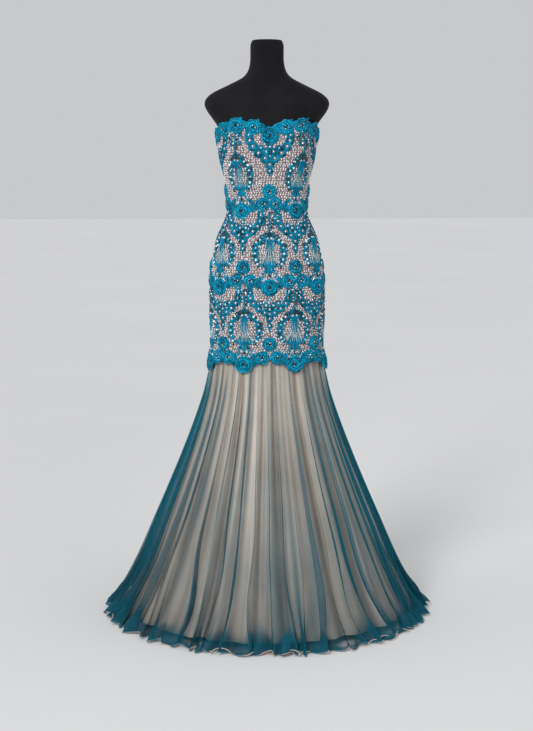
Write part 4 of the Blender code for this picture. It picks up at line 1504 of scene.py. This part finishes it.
    def swag_at(self, row: LaceRow, axis: float) -> None:
        """Sews a swag of eyelets with its pendant, and the rosettes under it.

        Args:
            row: The row.
            axis: The swag's middle, as a part of the girth.
        """
        for spot in self.swag_axis:
            place = Spot(0.0, spot.down * row.swag_drop)
            self.add_eyelet(*self.at(row, axis, 1, place), spot.size * row.eyelet)
        q, z = self.at(row, axis, 1, Spot(0.0, 0.608 * row.swag_drop))
        self.leaves.stamp(self._leaf, q, z, math.pi, 0.9)
        for side in (-1, 1):
            for spot in self.swag:
                place = Spot(spot.across * row.swag, spot.down * row.swag_drop)
                self.add_eyelet(*self.at(row, axis, side, place), spot.size * row.eyelet)
        self.add_rosette(*self.at(row, axis, 1, Spot(0.0, 0.800)), 0.98)
        for side in (-1, 1):
            self.add_rosette(*self.at(row, axis, side, Spot(0.285 * row.swag, 0.975)), 0.95)

    def add_eyelet(self, q: float, z: float, size: float) -> None:
        """Sews on an eyelet, whose hole shows the ground.

        Args:
            q: Its part of the girth.
            z: Its height.
            size: Its size against the eyelet's own.
        """
        turn, lift, shift = self.rng.uniform(0, 6), self.rng.uniform(0, 0.0006), self.rng.uniform(-0.12, 0.12)
        self.swags.stamp(self._eyelet, q, z, turn, size, lift, shift)
        self.cover(q, z, self.eyelet_radius * size - 0.001)
        self.eyes.append((q, z))

    def fan(self, row: LaceRow, axis: float) -> None:
        """Sews a fan of threads under its crown, its arch of leaves, and the rosette below.

        Args:
            row: The row.
            axis: The fan's middle, as a part of the girth.
        """
        self.add_rosette(*self.at(row, axis, 1, Spot(0.0, 1.065)), 1.17)
        for side in (-1, 1):
            for spot in self.arch:
                shift = self.rng.uniform(-0.25, 0.12)
                self.add_leaf(row, axis, side, self.narrowed(row, spot), spot.size * 0.95, 0.0008, shift)
            for spot in self.links:
                self.add_leaf(row, axis, side, spot, spot.size, 0.0002, self.rng.uniform(-0.2, 0.1))
            spots = [self.narrowed(row, spot) for spot in self.garland]
            across = np.interp(np.linspace(0, 8, 25), range(9), [spot.across for spot in spots])
            down = np.interp(np.linspace(0, 8, 25), range(9), [spot.down for spot in spots])
            self.cords.run(*self.line(row, axis, side * across, down), 0.0019, 0.0014, 0.5)
        for spots, trim in ((self.dark_stones, self.dark), (self.clear_stones, self.clear)):
            for spot in spots:
                for side in spot.sides:
                    q, z = self.at(row, axis, side, self.narrowed(row, spot))
                    z += self.rng.normal(0, 0.0009)
                    turn, size = self.rng.uniform(0, 6), spot.size * self.rng.uniform(0.7, 1.25)
                    trim.stamp(self._stone, q, z, turn, size, 0.0022)
        for spot in self.crown:
            for side in spot.sides:
                q, z = self.at(row, axis, side, self.narrowed(row, spot))
                self.swags.stamp(self._eyelet, q, z, 0.0, spot.size * 0.72, 0.0006, -0.2)
        self.fan_threads(row, axis)
        self.oval(row, axis)

    def narrowed(self, row: LaceRow, spot: Spot) -> Spot:
        """The spot in a row whose motifs are narrower than its repeat."""
        return Spot(spot.across * row.motif, spot.down, spot.size, spot.turn)

    def add_leaf(
        self, row: LaceRow, axis: float, side: int, spot: Spot, size: float, lift: float, shift: float
    ) -> None:
        """Sews on a leaf, turned with its side, and covers the ground under it.

        Args:
            row: The row.
            axis: The motif's middle, as a part of the girth.
            side: The side of the axis, 1 or -1.
            spot: The leaf's place and turn.
            size: Its size against the leaf's own.
            lift: Its height off the cloth.
            shift: Its change of tone.
        """
        q, z = self.at(row, axis, side, spot)
        self.leaves.stamp(self._leaf, q, z, math.radians(side * spot.turn), size, lift, shift)
        self.cover(q, z, 0.0045 * size)

    def line(
        self, row: LaceRow, axis: float, across: np.ndarray, down: np.ndarray
    ) -> tuple[np.ndarray, np.ndarray]:
        """Places a line of a repeat on the body.

        Args:
            row: The row.
            axis: The repeat's middle, as a part of the girth.
            across: Places across the repeat, from -1 to 1.
            down: Places down the row, from 0 to 1.

        Returns:
            The line's parts of the girth, and its heights.
        """
        q = axis + across * row.half
        z = FIGURE_SURFACE.row_height(row, q, down)
        return row.straightened(q, FIGURE_SURFACE.girth(z)), z

    def spray(self, row: LaceRow, axis: float, spray: Spray, trim: Trim, sides: int) -> None:
        """Lays the cords of a spray.

        Args:
            row: The row.
            axis: The fan's middle, as a part of the girth.
            spray: Their shape.
            trim: The trim that they belong to.
            sides: Sides of their sections.
        """
        t = np.linspace(0, 1, 12)
        for n, spread in enumerate(spray.spreads):
            across = spray.root * spread * (1 - spray.closing * t) + spray.opening * spread * t**1.5
            down = spray.top + (spray.length - spray.bow * spread**2) * t
            line = self.line(row, axis, across * row.motif**spray.narrowing, down)
            trim.run(*line, spray.radius, spray.lift, spray.tones[n % 2], sides)

    def fan_threads(self, row: LaceRow, axis: float) -> None:
        """Lays the fan: silvery threads round a turquoise stem, its tips and the loops below.

        Args:
            row: The row.
            axis: The fan's middle, as a part of the girth.
        """
        self.spray(row, axis, self.silver_spray, self.threads, 4)
        self.spray(row, axis, self.stem_spray, self.cords, 5)
        self.spray(row, axis, self.foot_spray, self.cords, 5)
        for spot in self.fan_tips:
            for side in spot.sides:
                shift = self.rng.uniform(-0.15, 0.1)
                self.add_leaf(row, axis, side, self.narrowed(row, spot), spot.size, 0.0004, shift)
        turn = np.linspace(0, 2 * math.pi, 17)
        for side in (-1, 1):
            across = side * (0.22 + 0.12 * np.sin(turn) + 0.05 * np.cos(turn)) * row.motif
            down = 0.925 - 0.050 * np.cos(turn)
            self.cords.run(*self.line(row, axis, across, down), 0.0016, 0.0018, 0.7)
            self.threads.run(*self.line(row, axis, across * 0.98, down - 0.011), 0.0007, 0.0024, 0.45, 4)

    def oval(self, row: LaceRow, axis: float) -> None:
        """Sews an oval of dotted arcs under the band, turquoise, clear and dark in turn.

        Args:
            row: The row.
            axis: The oval's middle, as a part of the girth.
        """
        girth = FIGURE_SURFACE.girth(FIGURE_SURFACE.row_height(row, np.array([axis]), 0.2))[0]
        half_width = self.oval_half_width * row.eyelet / (row.half * girth)
        for n, down in enumerate(np.linspace(0.060, 0.285, self.oval_arcs)):
            width = half_width * math.sin(0.75 + 0.42 * n)
            dots = max(3, round(8 * width / half_width) | 1)
            for m, t in enumerate(np.linspace(-1, 1, dots)):
                drop = 0.040 * (1 - t**2) + self.rng.normal(0, 0.003)
                q, z = self.at(row, axis, 1, Spot(width * t + self.rng.normal(0, 0.006), down + drop))
                kind, turn = (m + n) % 4, self.rng.uniform(0, 6)
                if kind in (0, 2):
                    self.leaves.stamp(self._leaf, q, z, turn, self.rng.uniform(0.66, 0.84), 0.0016, -0.20)
                    self.cover(q, z, 0.0036)
                elif kind == 1:
                    self.clear.stamp(self._stone, q, z, turn, self.rng.uniform(0.45, 0.8), 0.0030)
                else:
                    self.dark.stamp(self._stone, q, z, turn, self.rng.uniform(0.7, 1.0), 0.0030)

    def neck_edge(self) -> None:
        """Sews a rosette on each scallop of the top edge."""
        for n in range(self.neck_scallops):
            q = n / self.neck_scallops
            q = q - 1 if q > 0.5 else q
            front = n == 0
            top = float(FIGURE_SURFACE.row_height(LACE_ROWS[0], np.array([q]), 0.0)[0])
            self.add_rosette(q, top - (0.011 if front else 0.002), 1.22 if front else 1.06)
            for side in (-1, 1):
                turn = side * math.radians(65)
                self.leaves.stamp(self._leaf, q + side * 0.0285, top + 0.004, turn, 1.5, 0.0008)
            self.leaves.stamp(self._leaf, q + 0.016, top + 0.0125, -math.radians(28), 1.15, 0.0004)

    def zip_edges(self) -> None:
        """Sews a row of leaves down each side of the opening."""
        for z in np.arange(ZIP_FOOT + 0.012, 1.288, 0.0135):
            girth = FIGURE_SURFACE.girth(np.array([z]))[0]
            for side in (-1, 1):
                q, shift = side * (0.5 - 0.0105 / girth), self.rng.uniform(-0.1, 0.1)
                self.leaves.stamp(self._leaf, q, float(z), -side * math.radians(18), 0.9, 0.0, shift)
                self.cover(q, float(z), 0.005)

    def build(self) -> list[bpy.types.Object]:
        """Builds all of the lace.

        Returns:
            The pieces, front and back.
        """
        self._rosettes = [self.rosette(kind) for kind in range(self.rosette_kinds)]
        self._eyelet, self._leaf, self._stone = self.eyelet(), self.leaf(), self.stone()
        self.neck_edge()
        for row in LACE_ROWS:
            self.repeat(row)
        self.zip_edges()
        made = []
        for trim in (self.rosettes, self.swags, self.leaves, self.threads, self.cords, self.dark, self.clear):
            made += trim.finish()
        for piece in made:
            if piece.name == "lace_rosettes_front":
                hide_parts("lace_front")
            if piece.name == "lace_rosettes_back":
                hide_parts("lace_back_left", "lace_back_right")
        return made


class SkirtShape:
    """The skirt's crest surface and the depth of its folds."""

    @staticmethod
    def crest(angle: np.ndarray, z: np.ndarray, inside: np.ndarray) -> np.ndarray:
        """Points of the skirt inside its crests.

        Args:
            angle: Angles from the centre front.
            z: Heights.
            inside: How far inside the crests.

        Returns:
            The points.
        """
        angle, z, inside = np.broadcast_arrays(angle, z, inside)
        half, front, back = (table_column(SKIRT, "z", c, z) for c in ("half_width", "front", "back"))
        depth = np.where(np.cos(angle) > 0, front, back)
        return np.stack([(half - inside) * np.sin(angle), -(depth - inside) * np.cos(angle), z], -1)

    @staticmethod
    def depth(column: str, z: np.ndarray) -> np.ndarray:
        """A column of the table of folds at heights."""
        return table_column(FOLDS, "z", column, z)


@dataclass
class SatinUnderskirt:
    """The champagne satin, in soft uneven folds."""

    folds: int = 30
    columns: int = 720
    rows: int = 46
    top: float = 0.7145
    hem: float = 0.0195
    tulle_wall: float = 0.0022

    def build(self) -> bpy.types.Object:
        """Builds the satin as one shell from thigh to hem.

        Returns:
            The satin.
        """
        angle = np.linspace(-math.pi, math.pi, self.columns, endpoint=False)[None]
        z = (self.hem + (self.top - self.hem) * np.linspace(1, 0, self.rows) ** 1.1)[:, None]
        down = (self.top - z) / (self.top - self.hem)
        wander = 0.05 * np.sin(2 * angle + 1) + 0.03 * np.sin(5 * angle)
        wander = wander + 0.012 * np.sin(3.1 * down + 4 * angle)
        phase = self.folds * (angle + wander)
        fold = 0.5 - 0.5 * np.cos(phase)
        second = 0.5 - 0.5 * np.cos(1.62 * phase + 2.2 * down + 1.3)
        uneven = 0.62 + 0.38 * np.sin(0.73 * phase / 2 + 0.7)
        wave = np.clip(fold**1.3 * uneven + 0.28 * second * down, 0, 1.15)
        inside = SkirtShape.depth("tulle", z) + self.tulle_wall + SkirtShape.depth("room", z)
        depth = SkirtShape.depth("satin", z)
        points = SkirtShape.crest(angle, np.clip(z, SKIRT[0].z, SKIRT[-1].z), inside + depth * wave)
        points[..., 2] = np.broadcast_to(z, points.shape[:2])
        # Painted shade and highlight: the tone darkens into the fold hollows and carries narrow bright
        # streaks of painted highlight; the other streaks make it lighter and darker down the skirt.
        streak = 0.10 * np.sin(2.3 * phase + 1.5 * down) + 0.09 * np.sin(0.37 * phase + 0.8)
        painted_highlight = 0.30 * np.clip(np.sin(0.79 * phase + 0.9 * down + 0.4), 0, 1) ** 6
        tone = np.clip(0.78 - 0.85 * wave + streak + painted_highlight, 0, 1)
        uv = np.stack(np.broadcast_arrays(angle * 0.3, z), -1).reshape(-1, 2)
        faces = grid_faces(self.rows, self.columns, closed=True)
        piece = object_from_arrays(
            "satin_underskirt_cloth", points.reshape(-1, 3), faces, SATIN.build(),
            attributes={"tone": tone.ravel()}, uv=uv,
        )
        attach(piece, BODY)
        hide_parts("satin_front", "satin_left", "satin_back", "satin_right")
        area = mesh_area(piece)
        log.info("satin area %.3f", area)
        return piece


def mesh_area(obj: bpy.types.Object) -> float:
    """Adds up a piece's faces.

    Args:
        obj: The piece.

    Returns:
        Their area, in square metres.
    """
    areas = np.empty(len(obj.data.polygons))
    obj.data.polygons.foreach_get("area", areas)
    return float(areas.sum())


@dataclass
class TulleOverskirt:
    """The sheer turquoise net in gathers that lap over themselves, with a curled rolled hem."""

    folds: int = 54
    steps: int = 26
    rows: int = 62
    foot: float = 0.0016
    top: float = 0.712
    height: float = 0.7104
    least_lap: float = 0.08
    most_lap: float = 0.38
    base_density: float = 0.125
    hem_height: float = 0.085
    curl_out: float = 0.011
    curl_up: float = 0.009
    cord_radius: float = 0.0013
    curl_points: int = 2400
    curl_loops: int = 62
    curl_radius: float = 0.0125

    def blend(self, values: np.ndarray, along: np.ndarray) -> np.ndarray:
        """Reads one number for each fold smoothly along the cloth, closed all round.

        Args:
            values: The folds' numbers.
            along: Places along the cloth, in folds.

        Returns:
            The numbers there.
        """
        place = along - 0.5
        low = np.floor(place).astype(int)
        share = eased(place - low, 0.0, 1.0)
        return values[low % self.folds] * (1 - share) + values[(low + 1) % self.folds] * share

    def build(self) -> list[bpy.types.Object]:
        """Builds the net and its hem.

        Returns:
            The net, its rolled hem and the curls under it.
        """
        rng = np.random.default_rng(3)
        along = (np.arange(self.folds * self.steps) / self.steps)[None]
        z = (self.foot + self.height * np.linspace(1, 0, self.rows) ** 1.3)[:, None]
        down = (self.top - z) / self.height
        lap = self.blend(rng.uniform(self.least_lap, self.most_lap, self.folds), along)
        lap = lap * (1 + self.blend(rng.uniform(-0.9, 0.5, self.folds), along) * down)
        lean = self.blend(rng.choice([-1.0, 1.0], self.folds) * rng.uniform(0.6, 1.0, self.folds), along)
        lean = lean * (1 - self.blend(rng.uniform(0.0, 0.5, self.folds), along) * down)
        width = 2 * math.pi / self.folds
        base = width * along - math.pi
        base = (
            base + 0.030 * np.sin(3 * base + 0.4) + 0.016 * np.sin(7 * base) + 0.010 * np.sin(13 * base + 2)
        )
        wave = np.sin(2 * math.pi * along)
        low = eased(0.40 - z, 0.0, 0.40)
        small = np.sin(4 * math.pi * along + 3 * np.sin(5 * base))
        sway = down * (0.026 * np.sin(5 * base + 2.4 * down + 1) + 0.014 * np.sin(11 * base - 4.0 * down))
        sway = sway + low * (0.030 * np.sin(8 * base + 8.0 * down) + 0.014 * np.sin(19 * base - 13 * down))
        angle = base + width * (lap * wave + 0.05 * low * small) + sway
        depth = SkirtShape.depth("tulle", z) * np.clip(0.5 - 0.5 * lean * wave + 0.10 * low * small, 0, 1)
        hem = eased(self.hem_height - z, 0.0, self.hem_height) ** 1.5
        curl = np.sin(2 * math.pi * 1.5 * along + 2.0 * np.sin(5 * base) + 2 * hem)
        depth = depth + hem * self.curl_out * curl
        depth = np.maximum(depth, -0.003)
        points = SkirtShape.crest(angle, z, depth)
        lift = 0.5 + 0.5 * np.cos(2 * math.pi * along + 4 * np.sin(3 * base))
        points[..., 2] = points[..., 2] + hem * self.curl_up * lift
        attributes = {"veil": self.density(points, z).ravel(), "tone": self.tone(depth, z).ravel()}
        net = object_from_arrays(
            "tulle_overskirt_cloth", points.reshape(-1, 3), grid_faces(self.rows, along.size, closed=True),
            TULLE.build(), attributes=attributes,
        )
        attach(net, BODY)
        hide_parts("tulle_front", "tulle_left", "tulle_back", "tulle_right")
        area = mesh_area(net)
        hems = [self.roll("tulle_rolled_hem", points[-1], base[0]), self.curls()]
        log.info("tulle area %.3f", area)
        return [net, *hems]

    def density(self, points: np.ndarray, z: np.ndarray) -> np.ndarray:
        """Works out how much the net hides: more where it stands on edge, and at its doubled hem.

        Args:
            points: The net's grid of points.
            z: Its rows' heights.

        Returns:
            The share that each point hides.
        """
        around = np.roll(points, -1, axis=1) - np.roll(points, 1, axis=1)
        down = np.gradient(points, axis=0)
        normal = np.cross(around, down)
        normal /= np.maximum(np.linalg.norm(normal, axis=-1, keepdims=True), 1e-12)
        out = unit(points * [1, 1, 0])
        facing = np.clip(np.abs((normal * out).sum(-1)), 0.12, 1.0)
        angle = np.arctan2(points[..., 0], -points[..., 1])
        panels = 0.5 + 0.5 * np.sin(9 * angle + 2 * np.sin(4 * angle + 1))
        panels = 0.11 * panels * (1 - 0.5 * np.abs(np.sin(angle))) + 0.03 * np.abs(np.sin(angle))
        base = self.base_density + 0.09 * eased(0.60 - z, 0.0, 0.50) + panels
        density = 1 - (1 - base) ** (1 / facing**1.35)
        reach = 0.050 + 0.045 * np.sin(6 * angle + 2 * np.sin(5 * angle)) * np.sin(17 * angle + 1)
        hem = eased(reach - z, 0.0, reach)
        return np.clip(density * (1 + 2.0 * hem), 0.04, 0.90)

    def tone(self, depth: np.ndarray, z: np.ndarray) -> np.ndarray:
        """The net's tone: darker deep in the folds, as painted shade, and darker towards the hem."""
        share = depth / np.maximum(SkirtShape.depth("tulle", z), 0.004)
        return np.clip(0.92 - 0.35 * share - 0.50 * eased(0.30 - z, 0.0, 0.30), 0, 1)

    def curls(self) -> bpy.types.Object:
        """Curls a bare nude thread in loops that come and go along the hem.

        Returns:
            The thread.
        """
        angle = np.linspace(-math.pi, math.pi, self.curl_points, endpoint=False)
        share = np.clip(1.5 * np.sin(9 * angle + 2 * np.sin(3 * angle)) - 0.45, 0.0, 1.0)
        size = self.curl_radius * share * (0.80 + 0.20 * np.sin(31 * angle))
        turn = self.curl_loops * angle + 1.2 * np.sin(9 * angle)
        inside = 0.030 - 0.021 * share - 0.55 * size * np.sin(turn)
        edge = SkirtShape.crest(angle + size * np.cos(turn) / 0.45, np.full_like(angle, self.foot), inside)
        edge[:, 2] = 0.0024 + 0.60 * size * (1 - np.sin(turn)) + 0.0006 * np.sin(17 * angle)
        return self.roll("nude_hem_curls", edge, np.full_like(angle, np.nan))

    def roll(self, name: str, edge: np.ndarray, angle: np.ndarray) -> bpy.types.Object:
        """Rolls a thread along an edge, turquoise and nude in turn, or all nude where no angle is given.

        Args:
            name: The piece's name.
            edge: The edge's points, closed all round.
            angle: Each point's angle, or not a number.

        Returns:
            The thread.
        """
        sides = 5
        along = unit(np.roll(edge, -1, axis=0) - np.roll(edge, 1, axis=0))
        across = unit(np.cross(along, [0.0, 0.0, 1.0]))
        points = edge[:, None] + rings(across, np.cross(across, along), sides) * self.cord_radius
        points[..., 2] = np.maximum(points[..., 2], 0.0006)
        count = len(edge)
        faces = grid_faces(count + 1, sides, closed=True) % (count * sides)
        tone = np.clip(0.3 + 1.6 * np.sin(11 * angle + 2 * np.sin(4 * angle)) * np.sin(29 * angle + 1), 0, 1)
        tone = np.nan_to_num(tone, nan=1.0)
        cord = object_from_arrays(
            name, points.reshape(-1, 3), faces, HEM_CORD.build(), attributes={"tone": np.repeat(tone, sides)}
        )
        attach(cord, BODY)
        return cord


@dataclass
class ZipFastener:
    """The zip's teeth between their tapes; the slider and its pull keep their solids."""

    pitch: float = 0.0028
    tooth: tuple[float, float, float] = (0.0026, 0.0011, 0.0016)
    offset: float = 0.0005
    sunk: float = 0.0001
    first: float = ZIP_FOOT + 0.003
    last: float = 1.2745

    def build(self) -> bpy.types.Object:
        """Builds the teeth and dresses the zip's solids.

        Returns:
            The teeth.
        """
        dress("zip_chain", ZIP_TAPE)
        dress("zip_slider", ZIP_METAL)
        dress("zip_pull", ZIP_METAL)
        bpy.ops.mesh.primitive_cube_add(size=1)
        bpy.ops.object.mode_set(mode="EDIT")
        bpy.ops.mesh.select_all(action="SELECT")
        bpy.ops.mesh.bevel(offset=0.18, segments=1)
        bpy.ops.object.mode_set(mode="OBJECT")
        tooth = patch_from_active().sized(self.tooth)
        points, faces = [], []
        for n, z in enumerate(np.arange(self.first, self.last, self.pitch / 2)):
            height = np.array([z])
            at = FIGURE_SURFACE.place(np.array([0.5]), height, ground_out(height) + self.sunk)[0]
            moved = tooth.points.copy()
            moved[:, 0] += self.offset if n % 2 else -self.offset
            points.append(moved + [0, at[1] - self.sunk, z])
            faces.append(tooth.triangles + n * len(tooth.points))
        teeth = object_from_arrays(
            "zip_teeth", np.concatenate(points), np.concatenate(faces), ZIP_METAL.build(), Shade.FLAT
        )
        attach(teeth, BODY)
        return teeth


def dress(node: str, finish: Finish) -> None:
    """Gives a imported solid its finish.

    Args:
        node: The solid.
        finish: The finish.
    """
    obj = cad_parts[node]
    obj = obj if isinstance(obj, bpy.types.Object) else bpy.data.objects[node]
    obj.data.materials.clear()
    obj.data.materials.append(finish.build())


@dataclass
class Stand:
    """The pole and the round base, whose solids keep their shape."""

    def build(self) -> None:
        """Dresses both."""
        for node in ("stand_pole", "stand_base"):
            dress(node, STAND_PAINT)


@dataclass
class Studio:
    """A pale floor, soft lights and the camera."""

    distance: float = 4.1
    height: float = 1.25
    tilt: float = 7.77
    azimuth: float = -4.0
    lens: float = 72.89
    floor_size: float = 60.0
    sensor: float = 36.0
    shift: float = -0.0007
    sky: tuple[float, float, float, float] = (0.93, 0.94, 0.96, 1)
    sky_strength: float = 0.62

    def build(self) -> None:
        """Builds the floor, the world, the lights and the camera."""
        bpy.ops.mesh.primitive_plane_add(size=self.floor_size)
        floor = bpy.context.object
        floor.name = "studio_floor"
        floor.data.materials.append(FLOOR.build())
        world = bpy.data.worlds.new("studio")
        world.use_nodes = True
        world.node_tree.nodes["Background"].inputs["Color"].default_value = self.sky
        world.node_tree.nodes["Background"].inputs["Strength"].default_value = self.sky_strength
        bpy.context.scene.world = world
        self.lamp("key", "SUN", (-2.3, -3.4, 3.4), 0.0, energy=1.00, angle=math.radians(22))
        self.lamp(
            "pool", "SPOT", (-1.25, -2.5, 2.15), 1.03, energy=128, spot_size=math.radians(32), spot_blend=1.0,
            shadow_soft_size=0.3,
        )
        self.lamp("fill", "AREA", (2.8, -2.2, 1.7), 0.85, energy=8, size=2.6)
        self.lamp("spark", "AREA", (-1.2, -2.6, 2.2), 0.85, energy=9, size=0.5)
        data = bpy.data.cameras.new("camera")
        data.lens = self.lens
        data.sensor_width = self.sensor
        data.shift_x = self.shift
        camera = bpy.data.objects.new("camera", data)
        turn = math.radians(self.azimuth)
        camera.location = (self.distance * math.sin(turn), -self.distance * math.cos(turn), self.height)
        camera.rotation_euler = (math.radians(90 - self.tilt), 0, turn)
        bpy.context.scene.collection.objects.link(camera)
        bpy.context.scene.camera = camera
        bpy.context.scene.view_settings.view_transform = "Standard"
        bpy.context.scene.cycles.transparent_max_bounces = 48

    def lamp(
        self, name: str, kind: str, place: tuple[float, float, float], aim: float, **settings: float
    ) -> None:
        """Adds a soft light.

        Args:
            name: Its name.
            kind: Its type: an even sun, a pool that fades at its edge, or a square.
            place: Where it is.
            aim: The height above the floor's middle that it is aimed at.
            settings: Its power and its sizes.
        """
        data = bpy.data.lights.new(name, kind)
        for key, value in settings.items():
            setattr(data, key, value)
        light = bpy.data.objects.new(name, data)
        light.location = place
        light.rotation_euler = (Vector((0, 0, aim)) - Vector(place)).to_track_quat("-Z", "Y").to_euler()
        bpy.context.scene.collection.objects.link(light)


def main() -> None:
    """Builds the gown, its form, the stand and the studio, in order."""
    logging.basicConfig(level=logging.INFO, format="%(message)s")
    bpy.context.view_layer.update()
    bpy.ops.object.select_all(action="DESELECT")
    Studio().build()
    Stand().build()
    DressForm().build()
    sheath = Sheath()
    pieces = sheath.build()
    lace = CordedLace()
    pieces += lace.build()
    pieces += sheath.beads(lace.covered, lace.eyes)
    pieces.append(SatinUnderskirt().build())
    pieces += TulleOverskirt().build()
    pieces.append(ZipFastener().build())
    for piece in pieces:
        log.info("%s", piece.name)


if __name__ == "__main__":
    main()
